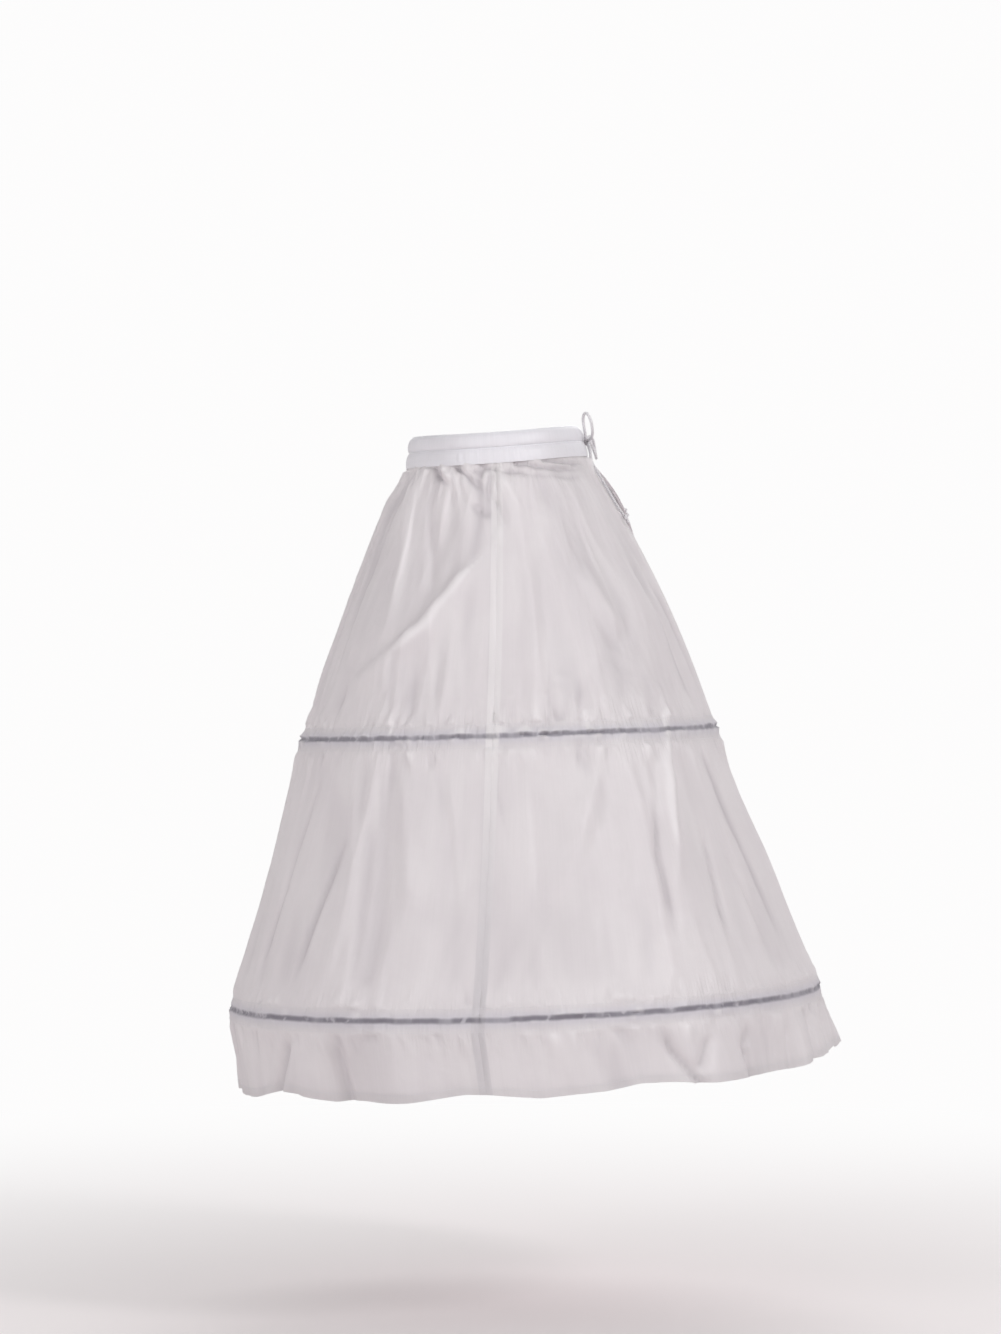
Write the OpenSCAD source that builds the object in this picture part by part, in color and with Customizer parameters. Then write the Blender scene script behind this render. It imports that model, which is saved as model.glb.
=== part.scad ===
// Two-hoop crinoline petticoat: gathered cloth panels under a drawn waistband, held out by two sprung hoops.
// The front faces -Y, the wearer's left is +X, and the origin is the middle of the waist.

/* [Waist] */
// Front-to-back size of the waistband over its top edge
waist_depth = 200; // [170:1:260]
// Side-to-side size of the waistband over its top edge
waist_width = 248; // [210:1:320]
// Height of the finished waistband
band_height = 37; // [30:0.5:48]
// How far the band widens on each side from its top edge to its bottom edge
band_flare = 9; // [4:0.5:14]
// Gap between the two ends of the band at the centre back
band_gap = 14; // [12:0.5:24]
// Tilt of the waist, its back higher than its front, in degrees
waist_tilt = 4; // [0:0.5:8]
// How far the waist dips at the wearer's sides
waist_dip = 6; // [0:0.5:12]

/* [Upper hoop] */
// Diameter over the cloth at the upper hoop
upper_diameter = 498; // [420:1:600]
// Drop from the waist to the upper hoop
upper_drop = 341; // [280:1:420]
// How far the upper hoop's centre sits behind the waist's centre
upper_setback = 16; // [0:1:40]
// Tilt of the upper hoop, its back higher than its front, in degrees
upper_tilt = 1.9; // [0:0.1:6]

/* [Lower hoop] */
// Diameter over the cloth at the lower hoop
lower_diameter = 704; // [600:1:900]
// Drop from the waist to the lower hoop
lower_drop = 655; // [560:1:800]
// How far the lower hoop's centre sits behind the waist's centre
lower_setback = 35; // [0:1:60]
// Tilt of the lower hoop, its back higher than its front, in degrees
lower_tilt = 2.2; // [0:0.1:6]

/* [Hem] */
// Mean diameter of the hem
hem_diameter = 718; // [620:1:900]
// Drop from the waist to the hem
hem_drop = 742; // [720:1:900]
// How far the hem's centre sits behind the waist's centre
hem_setback = 52; // [0:1:80]
// Tilt of the hem, its back higher than its front, in degrees
hem_tilt = 4.1; // [0:0.1:6]

/* [Hoop strip and sleeve] */
// Width of the hoop's steel strip
hoop_width = 5; // [3:0.5:8]
// Thickness of the hoop's steel strip
hoop_thickness = 1.2; // [0.8:0.1:2]
// Gap between the strip's two ends inside the sleeve
hoop_end_gap = 2; // [1:0.5:6]
// Length of the sleeve that joins the strip's ends
sleeve_length = 36; // [24:1:50]
// Wall of the sleeve
sleeve_wall = 0.5; // [0.3:0.1:1]

/* [Casings] */
// Height of a hoop casing, stitch row to stitch row
casing_height = 26; // [20:1:36]
// Length of the opening in a casing through which its hoop is fed
casing_opening = 46; // [38:1:80]

/* [Cloth] */
// Thickness of one layer of the cloth
cloth = 0.6; // [0.4:0.05:1]
// How far the cloth above the upper hoop stands out beyond a straight cone
upper_bulge = 9; // [0:0.5:16]
// Depth of the gathers below the waistband
gather_depth = 2.5; // [0:0.5:6]
// Depth of the soft folds above the upper hoop
drape_depth = 2.5; // [0:0.5:8]
// Depth of the hollows over the hips
hollow_depth = 11; // [0:0.5:16]
// Depth of the folds between the two hoops
fold_depth = 3; // [0:0.5:8]
// Depth of the waves in the flounce at the hem
flounce_depth = 9; // [0:0.5:14]
// How far the hem rises and dips with its waves
hem_scallop = 2; // [0:0.5:8]
// How far the hem is drawn up at its highest
hem_lift = 8; // [0:0.5:12]
// Depth of the deepest fold that hangs in the cloth
crest_depth = 8; // [0:0.5:12]
// Width of that fold's broad side
crest_width = 20; // [14:1:30]
// Length of the placket below the band at the centre back
placket_length = 100; // [60:1:140]
// How far the right edge of the placket stands out over the left
placket_lift = 7.5; // [0:0.5:12]

/* [Drawstring] */
// Diameter of the drawstring
cord_diameter = 3.5; // [2.5:0.1:5]
// Thickness of the waist elastic
elastic_thickness = 1.5; // [0.8:0.1:2]
// Diameter of the bow's knot
knot_diameter = 11; // [10:0.5:16]
// Length of the bow's knot across the back
knot_length = 10; // [8:0.5:16]
// Diameter of the knot at the end of each tail
tail_knot_diameter = 7; // [6:0.5:10]

/* [Hidden] */

// Clearance between two layers that are sewn together
fit = 0.4;
// Clearance of the strip inside its sleeve
sleeve_fit = 0.2;
// Gap between two panels along a seam
seam_gap = 0.4;
// Height by which the panels are tucked up into the band
tuck = 3;
// Step below the band at which the panels come into view
band_step = 1;

// Angles run from the wearer's left, through the back, to the right and the front
left_side = 0;
centre_back = 90;
right_side = 180;
full_turn = 360;
// Columns of the panels over a full turn, and of the band
panel_columns = 120;
band_columns = 54;
column = full_turn / panel_columns;
// How far the side seams lean towards the front at the hem, in degrees
seam_lean = 10;

// The band's own sizes, worked out from the layers and the cord that it holds
band_depth = 3 * cloth + 2 * fit;
band_puff = cord_diameter + 2 * fit + 2 * cloth - band_depth;
groove = band_depth - 2 * cloth - fit;
puff_half_share = 0.07;
fold_edge_share = 0.05;
quarter_share = 0.25;
elastic_height_share = 0.25;
channel = band_height * quarter_share;
band_half_angle = asin(band_gap / waist_width);

// Widening of the cloth in each casing for each unit of drop
upper_slope_share = 0.37;
lower_slope_share = 0.2;
upper_radius = upper_diameter / 2;
lower_radius = lower_diameter / 2;

// A ring is its centre's setback and height, its tilt, its half width and half depth, and its sides' dip
function ring(setback, height, tilt, half_width, half_depth, dip, above) =
    [setback - above * sin(tilt), height + above * cos(tilt), tilt, half_width, half_depth, dip];
// A point of a ring, moved outwards from it
function ring_point(ring, angle, out) =
    let (across = (ring[3] + out) * cos(angle), along = (ring[4] + out) * sin(angle))
    [across, ring[0] + along * cos(ring[2]), ring[1] + along * sin(ring[2]) - ring[5] * pow(cos(angle), 2)];
function blend(from, to, share) = from + (to - from) * share;
function smooth(share) = let (s = min(1, max(0, share))) s * s * (3 - 2 * s);

// Rings of the waist, of the two casings and of the hem
function waist_ring(above) =
    let (spread = band_flare * (band_height / 2 - above) / band_height)
    ring(0, 0, waist_tilt, waist_width / 2 + spread, waist_depth / 2 + spread, waist_dip, above);
function upper_ring(above) =
    let (r = upper_radius - upper_slope_share * above)
    ring(upper_setback, -upper_drop, upper_tilt, r, r, 0, above);
function lower_ring(above) =
    let (r = lower_radius - lower_slope_share * above)
    ring(lower_setback, -lower_drop, lower_tilt, r, r, 0, above);
hem_ring = ring(hem_setback, -hem_drop, hem_tilt, hem_diameter / 2, hem_diameter / 2, 0, 0);

// Waves around the skirt: how many, where they start in degrees, and their share of the depth
drape_shares = [[7, 20, 0.45], [11, 95, 0.3], [16, 200, 0.25]];
fold_shares = [[9, 40, 0.3], [14, 150, 0.4], [19, 260, 0.3]];
flounce_shares = [[8, 70, 0.35], [13, 190, 0.4], [17, 300, 0.25]];
gather_shares = [[24, 0, 0.75], [17, 60, 0.25]];
function waves(table, angle) = sum([for (w = table) w[2] * cos(w[0] * angle + w[1])]);
function sum(list, i = 0) = i == len(list) ? 0 : list[i] + sum(list, i + 1);

// Hollows and ridges of the upper cloth on the wearer's left: angle, height share, both spreads, depth share
hip_shares = [[-34, 0.3, 22, 0.17, -1], [-36, 0.62, 16, 0.1, 0.45], [-12, 0.42, 12, 0.1, 0.35],
    [46, 0.36, 20, 0.15, -0.6], [62, 0.62, 18, 0.16, 0.3]];
function hump(h, angle, share) = h[4] * exp(-pow((angle - h[0]) / h[2], 2) - pow((share - h[1]) / h[3], 2));
// The angle brought to the left half; the right half is warped, so that its folds don't mirror the left ones
right_warp = 8;
function left_angle(angle) =
    let (a = angle - full_turn * floor(angle / full_turn + 0.5), half = sign(a) * right_side - a)
    abs(a) > centre_back ? half + right_warp * sin(2 * half) : a;
function hips(angle, share) = sum([for (h = hip_shares) hump(h, angle, share)]);

// Main folds on the wearer's left: depth share, width shares above and below the crest, shares of the crest
// over which it rises and dies away, and the crest's line as angles and height shares of its tier
upper_fold_shares = [
    [1, 0.5, 1, 0.3, 0.3, [[-5, 0.33], [-19.5, 0.48], [-29.5, 0.63], [-44, 0.77], [-58, 0.87]]],
    [0.375, 0.55, 0.55, 0.3, 0.3, [[10, 0.32], [9, 0.69], [5.5, 0.97]]],
    [0.75, 0.6, 0.6, 0.3, 0.3, [[32.5, 0.4], [36.5, 0.56], [41, 0.7]]],
    [0.375, 0.5, 0.5, 0.3, 0.3, [[-57, 0.07], [-47.5, 0.35], [-41, 0.67]]],
    [-0.375, 0.5, 0.5, 0.3, 0.3, [[-40, 0.09], [-27, 0.52]]],
    [0.75, 3, 3, 0.2, 0.8, [[-90, 0], [-90, 0.65]]]];
middle_fold_shares = [
    [-0.75, 4, 4, 0.45, 0.45, [[-90, 0], [-90, 1]]],
    [-0.75, 3, 3, 0.25, 0.7, [[90, 0], [90, 0.45]]],
    [0.5, 0.9, 0.9, 0.3, 0.3, [[-28, 0.05], [-23.5, 0.65]]],
    [-0.5, 0.6, 0.6, 0.3, 0.3, [[-16.5, 0.15], [-14, 0.75]]],
    [0.75, 0.75, 0.75, 0.3, 0.3, [[25, 0], [16.5, 0.28], [4, 0.72]]],
    [0.75, 0.5, 0.5, 0.3, 0.3, [[44, 0], [40, 0.25], [35.5, 0.62]]]];
// A tier is its radius at its top and at its bottom, and the length of its cloth
function tier_sizes(top, bottom) = [top[3], bottom[3], norm([bottom[1] - top[1], bottom[3] - top[3]])];
function fold_place(tier, angle, share) =
    [angle / right_side * PI * blend(tier[0], tier[1], share), tier[2] * share];
function fold_leg(tier, fold, place, i) =
    let (line = fold[5], from = fold_place(tier, line[i][0], line[i][1]),
        leg = fold_place(tier, line[i + 1][0], line[i + 1][1]) - from,
        along = min(1, max(0, (place - from) * leg / (leg * leg))),
        off = place - from - along * leg,
        wide = crest_width * (off[1] * leg[0] > off[0] * leg[1] ? fold[1] : fold[2]),
        at = (i + along) / (len(line) - 1))
    exp(-off * off / pow(wide, 2)) * smooth(at / fold[3]) * smooth((1 - at) / fold[4]);
function folds(table, tier, angle, share) = crest_depth * sum([for (f = table)
    f[0] * max([for (i = [0:len(f[5]) - 2]) fold_leg(tier, f, fold_place(tier, angle, share), i)])]);
// Height of the hem around the wearer's left, as angles and shares of its lift
hem_lift_shares = [[-90, -0.2], [-78, -0.3], [-66, 0.4], [-57, 1.5], [-50, 1.5], [-41, 0.1], [-24, 0.4],
    [-14, 0.9], [-9, 0.7], [0, -0.1], [12, 0.1], [18, 0.7], [24, 0.5], [33, -0.2], [48, -0.4], [60, -0.4],
    [68, 0.7], [90, 0.5]];

// Calm stretch at the centre back, where the drawstring's tails lie
calm_angle = 26;
calm_share = 0.45;
function calm(angle, share) =
    1 - (1 - smooth(share / calm_share)) * (1 - smooth(abs(angle - centre_back) / calm_angle));

// How far the cloth stands off its ring in the tiers above the upper hoop, between the hoops and in the
// flounce, at a column's own angle and at the place on the left half where it hangs
gather_peak_share = 0.1;
function upper_out(angle, hung, share) =
    let (rise = share / gather_peak_share, ends = sin(right_side * share))
    upper_bulge * 4 * share * (1 - share)
    + calm(angle, share) * (gather_depth * rise * exp(1 - rise) * waves(gather_shares, angle)
        + drape_depth * ends * waves(drape_shares, angle) + hollow_depth * ends * hips(hung, share)
        + folds(upper_fold_shares, upper_tier, hung, share));
function middle_out(angle, hung, share) = fold_depth * sin(right_side * share) * waves(fold_shares, angle)
    + folds(middle_fold_shares, middle_tier, hung, share);
function flounce_out(angle, share) = flounce_depth * smooth(share) * waves(flounce_shares, angle);
function hem_drop_at(angle, hung, share) =
    share * (hem_scallop * waves(flounce_shares, angle) - hem_lift * lookup(hung, hem_lift_shares));

// The placket: how far each edge stands from the centre back, and how far the right one is lifted
tier_length = upper_drop - casing_height / 2 - band_height / 2;
placket_share = placket_length / tier_length;
lift_angle = 14;
function edge_gap(share) =
    seam_gap / 2 + (band_gap / 2 - seam_gap / 2) * max(0, 1 - share / placket_share);
function edge_lift(angle, share, side) = side < 0 || share > placket_share ? 0 :
    placket_lift * sin(right_side * share / placket_share) * exp(-pow((angle - centre_back) / lift_angle, 2));

// Rows of a panel: ring, tier (0 flat, 1 upper, 2 middle, 3 flounce), shares of the tier and the whole drop
upper_row_shares = [0.05, 0.12, 0.2, 0.28, 0.36, 0.44, 0.52, 0.6, 0.68, 0.76, 0.84, 0.92];
middle_row_shares = [0.1, 0.2, 0.32, 0.44, 0.56, 0.68, 0.8, 0.9];
flounce_row_shares = [0.3, 0.65, 1];
half_casing = casing_height / 2;
panel_inset = -cloth - fit;
band_edge = -band_height / 2;
function row(ring, tier, share) = [ring, tier, share, -ring[1] / hem_drop];
function inset(ring, by) = [ring[0], ring[1], ring[2], ring[3] + by, ring[4] + by, ring[5]];
panel_top = inset(waist_ring(band_edge - band_step), panel_inset);
upper_tier = tier_sizes(panel_top, upper_ring(half_casing));
middle_tier = tier_sizes(upper_ring(-half_casing), lower_ring(half_casing));
panel_rows = concat(
    [row(inset(waist_ring(band_edge + tuck), panel_inset), 0, 0), row(panel_top, 0, 0)],
    [for (s = upper_row_shares) row(blend(panel_top, upper_ring(half_casing), s), 1, s)],
    [for (above = [half_casing, 0, -half_casing]) row(upper_ring(above), 0, 1)],
    [for (s = middle_row_shares) row(blend(upper_ring(-half_casing), lower_ring(half_casing), s), 2, s)],
    [for (above = [half_casing, 0, -half_casing]) row(lower_ring(above), 0, 1)],
    [for (s = flounce_row_shares) row(blend(lower_ring(-half_casing), hem_ring, s), 3, s)]);

// A point of the cloth at a column's own angle, leaning with the seams; inward moves it through the cloth
function panel_point(row, angle, side, inward) =
    let (tier = row[1], share = row[2],
        leant = angle - seam_lean * max(0, row[3]) * cos(angle),
        hung = left_angle(leant),
        out = tier == 1 ? upper_out(angle, hung, share) + edge_lift(angle, share, side) :
            tier == 2 ? middle_out(angle, hung, share) : tier == 3 ? flounce_out(angle, share) : 0,
        p = ring_point(row[0], leant, out - inward))
    tier == 3 ? p - [0, 0, hem_drop_at(angle, hung, share)] : p;
// Gap from a seam as an angle on the row's ring, wider at the placket
function seam_angle(row, at_back) = atan((at_back && row[1] < 2 ? edge_gap(row[1] == 1 ? row[2] :
    row[3] < upper_drop / hem_drop / 2 ? 0 : 1) : seam_gap / 2) / row[0][4]);
// The columns of one panel in one row, from seam to seam
function columns(row, from, to) =
    let (n = round((to - from) / column),
        first = from + seam_angle(row, from == centre_back),
        last = to - seam_angle(row, to == centre_back))
    [for (i = [0:n]) i == 0 ? first : i == n ? last : from + i * column];

// Two triangles for the four corners of a patch, clockwise from outside
function patch(a, b, c, d) = [[a, b, c], [a, c, d]];
function flat(lists) = [for (l = lists) each l];

// A panel between two seams, one layer of cloth thick
module panel(from, to, side) {
    n = round((to - from) / column) + 1;
    m = len(panel_rows);
    angles = [for (r = panel_rows) columns(r, from, to)];
    outer = [for (j = [0:m - 1]) each [for (a = angles[j]) panel_point(panel_rows[j], a, side, 0)]];
    inner = [for (j = [0:m - 1]) each [for (a = angles[j]) panel_point(panel_rows[j], a, side, cloth)]];
    back = n * m;
    faces = concat(
        [for (j = [0:m - 2], i = [0:n - 2]) let (k = j * n + i) each concat(
            patch(k, k + 1, k + n + 1, k + n),
            patch(back + k, back + k + n, back + k + n + 1, back + k + 1))],
        [for (i = [0:n - 2]) let (k = (m - 1) * n + i) each concat(
            patch(i + 1, i, back + i, back + i + 1),
            patch(k, k + 1, back + k + 1, back + k))],
        [for (j = [0:m - 2]) let (k = j * n, l = j * n + n - 1) each concat(
            patch(k, k + n, back + k + n, back + k),
            patch(l + n, l, back + l, back + l + n))]);
    polyhedron(concat(outer, inner), faces);
}

// A point of the waist at a height above its middle, moved inwards from the band's outer face
function waist_point(angle, inward, above) = ring_point(waist_ring(above), angle, -inward);
// The angles of the band's columns, from its right end round the front to its left end
band_from = centre_back + band_half_angle;
band_turn = full_turn - 2 * band_half_angle;
band_angles = [for (i = [0:band_columns]) band_from + band_turn * i / band_columns];

// A strip with the given section carried round the waist; the section runs up its outer side first, and the
// second half of its points lies across from the first, so that flat patches close both ends
module waist_strip(section) {
    m = len(section);
    points = [for (a = band_angles) each [for (s = section) waist_point(a, s[0], s[1])]];
    last = band_columns * m;
    faces = concat(
        [for (i = [0:band_columns - 1], k = [0:m - 1]) let (a = i * m + k, b = i * m + (k + 1) % m)
            each patch(a, b, b + m, a + m)],
        [for (k = [0:m / 2 - 2]) let (a = last + k, b = last + m - 1 - k) each concat(
            patch(m - 1 - k, m - 2 - k, k + 1, k), patch(a, a + 1, b - 1, b))]);
    polyhedron(points, faces);
}

// Section of the folded band, as depth from its outer face and height: two channels and a stitched groove
band_half = band_height / 2;
puff_half = band_height * puff_half_share;
fold_edge = band_height * fold_edge_share;
band_skin = [[0, -band_half], [-band_puff, -channel - puff_half], [-band_puff, -channel + puff_half],
    [groove, 0], [-band_puff, channel - puff_half], [-band_puff, channel + puff_half],
    [0, band_half - fold_edge], [band_depth / 2, band_half], [band_depth, band_half - fold_edge],
    [band_depth, -band_half]];
band_lining = [[band_depth - cloth, -band_half], [band_depth - cloth, band_half - fold_edge - cloth],
    [band_depth / 2, band_half - cloth], [cloth, band_half - fold_edge - cloth],
    [cloth - band_puff, channel + puff_half], [cloth - band_puff, channel - puff_half],
    [cloth + groove, 0], [cloth - band_puff, puff_half - channel], [cloth - band_puff, -puff_half - channel],
    [cloth, -band_half]];

module waistband() {
    color([0.93, 0.92, 0.95]) waist_strip(concat(band_skin, band_lining));
}

// Flat elastic lying against the inner leaf in the lower channel
elastic_height = band_height * elastic_height_share;
elastic_back = band_depth - cloth - fit;
module waist_elastic() {
    half = elastic_height / 2;
    color([0.95, 0.95, 0.96]) waist_strip([
        [elastic_back - elastic_thickness, -channel - half],
        [elastic_back - elastic_thickness, half - channel],
        [elastic_back, half - channel], [elastic_back, -channel - half]]);
}

// A round cord swept along a path, with flat ends; up is a direction that the path never follows
cord_sides = 8;
function unit(v) = v / norm(v);
function path_ring(path, i, up) =
    let (t = unit(path[min(i + 1, len(path) - 1)] - path[max(i - 1, 0)]),
        n = unit(cross(up, t)), b = cross(t, n))
    [for (k = [0:cord_sides - 1]) let (phi = full_turn * k / cord_sides)
        path[i] + cord_diameter / 2 * (cos(phi) * n + sin(phi) * b)];
module cord(path, up) {
    m = cord_sides;
    last = (len(path) - 1) * m;
    points = [for (i = [0:len(path) - 1]) each path_ring(path, i, up)];
    faces = concat(
        [for (i = [0:len(path) - 2], k = [0:m - 1]) let (a = i * m + k, b = i * m + (k + 1) % m)
            each patch(a, a + m, b + m, b)],
        [[for (k = [0:m - 1]) k], [for (k = [m - 1:-1:0]) last + k]]);
    color([0.9, 0.9, 0.92]) polyhedron(points, faces);
}

// Middle of the bow's knot, lying in the groove between the band's two channels at the centre back
seat = knot_diameter / 2 + fit;
groove_slope = atan((band_puff + groove) / (channel - puff_half));
knot = waist_point(centre_back, groove - seat / cos(groove_slope), 0);
// The drawstring leaves both ends of the upper channel and turns outwards to the knot
cord_inward = cloth + fit + cord_diameter / 2 - band_puff;
gap_share = 0.34;
turn_share = 0.3;
lead_share = 0.5;
function stub(side) =
    let (channel_end = waist_point(centre_back, cord_inward, channel),
        from_knot = unit(channel_end - knot),
        aside = [side * cord_diameter * 2 * turn_share, 0, 0])
    [channel_end + [side * band_gap * gap_share, cord_diameter * turn_share, 0],
        knot + aside + from_knot * (seat + cord_diameter * lead_share),
        knot + aside + from_knot * seat];
module drawstring() {
    ring_path = [for (a = band_angles) waist_point(a, cord_inward, channel)];
    right = stub(-1);
    left = stub(1);
    cord(concat([right[2], right[1], right[0]], ring_path, left), [0, 0, 1]);
}

// Short barrel that stands for the wound middle of the bow
module bow_knot() {
    color([0.88, 0.88, 0.9]) translate(knot) rotate([0, centre_back, 0])
        cylinder(h = knot_length, d = knot_diameter, center = true, $fn = 48);
}

// Routes of the bow's loops and tails, from the middle of the knot's end face
left_loop_route = [[0, 2, 2], [3, 2, 2], [9, 3, 2.5], [17, 4.5, 4.5], [25, 5, 9], [31, 4.5, 15],
    [34.5, 3, 22], [34, 0.5, 28.5], [29.5, -2.5, 32], [23.5, -5, 31], [18, -6, 26.5], [14, -5.5, 20.5],
    [11, -4.5, 14.5], [9, -3.5, 9.5], [6.5, -3, 5.5], [4, -2, 3], [1.5, -2, 2], [0, -2, 2]];
right_loop_route = [[0, -2, 2], [-3, -2, 2], [-9, -1, 5], [-17, 2, 7.5], [-25, 5, 7], [-32, 7.5, 3],
    [-37, 9, -4], [-37.5, 10, -11], [-33, 11, -17], [-26, 11, -18], [-20, 10, -14.5], [-15, 8, -10],
    [-11, 6, -5.5], [-7.5, 4, -1.5], [-4.5, 2.5, 1], [-1.5, 2, 2], [0, 2, 2]];
left_tail_route = [[0, 0, -2.5], [3, 0, -2.5], [7, 0.5, -3.5], [10.5, 1.5, -6.5], [13, 2.5, -11],
    [14.5, 3, -17], [15, 4, -24], [15, 7.4, -31], [15, 13, -40.5], [15, 18.5, -50], [15, 24, -59.5],
    [15, 29.5, -69], [15, 35, -78.5], [15, 42, -88]];
right_tail_route = [[0, 0, -2.5], [-3, 0, -2.5], [-7, 0.5, -4], [-10.5, 2, -7.5], [-13, 3.5, -12.5],
    [-14.5, 4, -18.5], [-15, 6, -25], [-15, 10, -31.5], [-15, 16.5, -40.5], [-15, 23.5, -50],
    [-15, 30, -59.5], [-15, 35.5, -69], [-15, 42.5, -78.5]];
function placed(route, side) = [for (p = route) knot + [side * knot_length / 2, 0, 0] + p];
module free_cord(route, side) {
    cord(placed(route, side), [0, 1, 0]);
}
// Knot at the end of a tail, just past the cord's flat end
module tail_knot(route, side) {
    path = placed(route, side);
    end = path[len(path) - 1];
    along = unit(end - path[len(path) - 2]);
    color([0.9, 0.9, 0.92]) translate(end + along * (tail_knot_diameter / 2 + fit))
        sphere(d = tail_knot_diameter, $fn = 48);
}

// Places of the strip and the casing, counted inwards from the cloth over a hoop
sagitta_share = 1 - cos(column / 2);
function strip_outer(radius, slope) = radius - cloth - radius * sagitta_share - fit - sleeve_wall - sleeve_fit
    - slope * (hoop_width / 2 + sleeve_wall + sleeve_fit);
function arc_angle(length, radius) = length / radius * right_side / PI;
module at_ring(drop, setback, tilt) {
    translate([0, setback, -drop]) rotate([tilt, 0, 0]) children();
}

// Steel strip with rounded edges, open by its end gap at the centre back
module hoop(radius, slope) {
    outer = strip_outer(radius, slope);
    gap = arc_angle(hoop_end_gap, outer);
    edge = hoop_thickness / 2;
    color([0.45, 0.45, 0.47]) rotate([0, 0, centre_back + gap / 2])
        rotate_extrude(angle = full_turn - gap, $fn = 96) {
            translate([outer - hoop_thickness, edge - hoop_width / 2])
                square([hoop_thickness, hoop_width - hoop_thickness]);
            for (side = [-1, 1]) translate([outer - edge, side * (hoop_width / 2 - edge)])
                circle(r = edge, $fn = 32);
        }
}

// Tube that joins the strip's ends
module sleeve(radius, slope) {
    outer = strip_outer(radius, slope);
    turn = arc_angle(sleeve_length, outer);
    hole = [hoop_thickness + 2 * sleeve_fit, hoop_width + 2 * sleeve_fit];
    wall = [sleeve_wall, sleeve_wall];
    color([0.8, 0.8, 0.82]) rotate([0, 0, centre_back - turn / 2]) rotate_extrude(angle = turn, $fn = 96)
        translate([outer - hoop_thickness / 2, 0]) difference() {
            square(hole + 2 * wall, center = true);
            square(hole, center = true);
        }
}

// Tape sewn inside the cloth along both edges, with a pocket for the strip and an opening at the centre back
module casing(radius, slope) {
    seat = radius - cloth - radius * sagitta_share - fit;
    pocket = strip_outer(radius, slope) - hoop_thickness - fit;
    pocket_half = hoop_width / 2 + fit;
    gap = arc_angle(casing_opening, seat);
    face = [[seat - slope * half_casing, half_casing], [pocket, pocket_half], [pocket, -pocket_half],
        [seat + slope * half_casing, -half_casing]];
    lining = [for (i = [len(face) - 1:-1:0]) face[i] - [cloth, 0]];
    color([0.92, 0.91, 0.93]) rotate([0, 0, centre_back + gap / 2])
        rotate_extrude(angle = full_turn - gap, $fn = 96) polygon(concat(face, lining));
}

module front_panel() {
    color([0.86, 0.84, 0.85]) panel(right_side, full_turn + left_side, 0);
}
module left_back_panel() {
    color([0.84, 0.82, 0.83]) panel(left_side, centre_back, -1);
}
module right_back_panel() {
    color([0.84, 0.82, 0.83]) panel(centre_back, right_side, 1);
}
module upper_ring_frame() {
    at_ring(upper_drop, upper_setback, upper_tilt) children();
}
module lower_ring_frame() {
    at_ring(lower_drop, lower_setback, lower_tilt) children();
}

waistband();
waist_elastic();
drawstring();
bow_knot();
free_cord(left_loop_route, 1);  // left_bow_loop
free_cord(right_loop_route, -1);  // right_bow_loop
free_cord(left_tail_route, 1);  // left_tail
free_cord(right_tail_route, -1);  // right_tail
tail_knot(left_tail_route, 1);  // left_tail_knot
tail_knot(right_tail_route, -1);  // right_tail_knot
front_panel();
left_back_panel();
right_back_panel();
upper_ring_frame() casing(upper_radius, upper_slope_share);  // upper_casing
upper_ring_frame() hoop(upper_radius, upper_slope_share);  // upper_hoop
upper_ring_frame() sleeve(upper_radius, upper_slope_share);  // upper_hoop_sleeve
lower_ring_frame() casing(lower_radius, lower_slope_share);  // lower_casing
lower_ring_frame() hoop(lower_radius, lower_slope_share);  // lower_hoop
lower_ring_frame() sleeve(lower_radius, lower_slope_share);  // lower_hoop_sleeve
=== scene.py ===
"""Visual model of a white two-hoop crinoline petticoat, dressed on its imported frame.

Lengths are in metres and angles in degrees. Angle 0 is the wearer's left (+X), 90 the centre back (+Y),
180 the right and 270 the front. A level runs down the skirt: 0 is just below the waistband, 1 to 2 the
upper casing, 3 to 4 the lower casing, and 5 the hem.
"""
import logging
import math
from dataclasses import dataclass, field
from enum import Enum

import bmesh
import bpy
import numpy as np
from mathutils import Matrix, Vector


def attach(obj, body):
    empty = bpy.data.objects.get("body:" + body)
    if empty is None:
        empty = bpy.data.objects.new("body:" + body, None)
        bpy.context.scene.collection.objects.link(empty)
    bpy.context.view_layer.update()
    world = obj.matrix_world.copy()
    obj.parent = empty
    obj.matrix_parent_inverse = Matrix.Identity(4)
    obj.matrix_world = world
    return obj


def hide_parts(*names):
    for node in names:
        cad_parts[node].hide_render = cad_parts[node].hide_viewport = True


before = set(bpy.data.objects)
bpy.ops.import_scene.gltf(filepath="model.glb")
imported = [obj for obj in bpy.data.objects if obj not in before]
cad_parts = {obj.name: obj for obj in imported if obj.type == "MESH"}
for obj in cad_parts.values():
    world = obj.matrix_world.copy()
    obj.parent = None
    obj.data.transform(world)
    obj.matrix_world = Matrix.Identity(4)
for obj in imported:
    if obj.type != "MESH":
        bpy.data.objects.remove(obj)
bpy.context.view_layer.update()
LOG = logging.getLogger("petticoat")
Array = np.ndarray
Socket = bpy.types.NodeSocket
Colour = tuple[float, float, float, float]
BACK = 90.0
HALF_TURN = 180.0
FULL_TURN = 360.0
HEM = 5.0
SHARP_ANGLE = 65.0
MERGE_DISTANCE = 1e-7
# Places of a ring's values in its row
SETBACK, HEIGHT, WIDTH, DEPTH = 0, 1, 3, 4


class Slot(Enum):
    """Material slots of the pieces that are made here."""

    TAFFETA = "taffeta"
    TAPE = "tape"
    CORD = "cord"


class Tier(Enum):
    """Stretches of the skirt, by the level at which each begins."""

    UPPER = 0
    UPPER_CASING = 1
    MIDDLE = 2
    LOWER_CASING = 3
    FLOUNCE = 4


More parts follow.
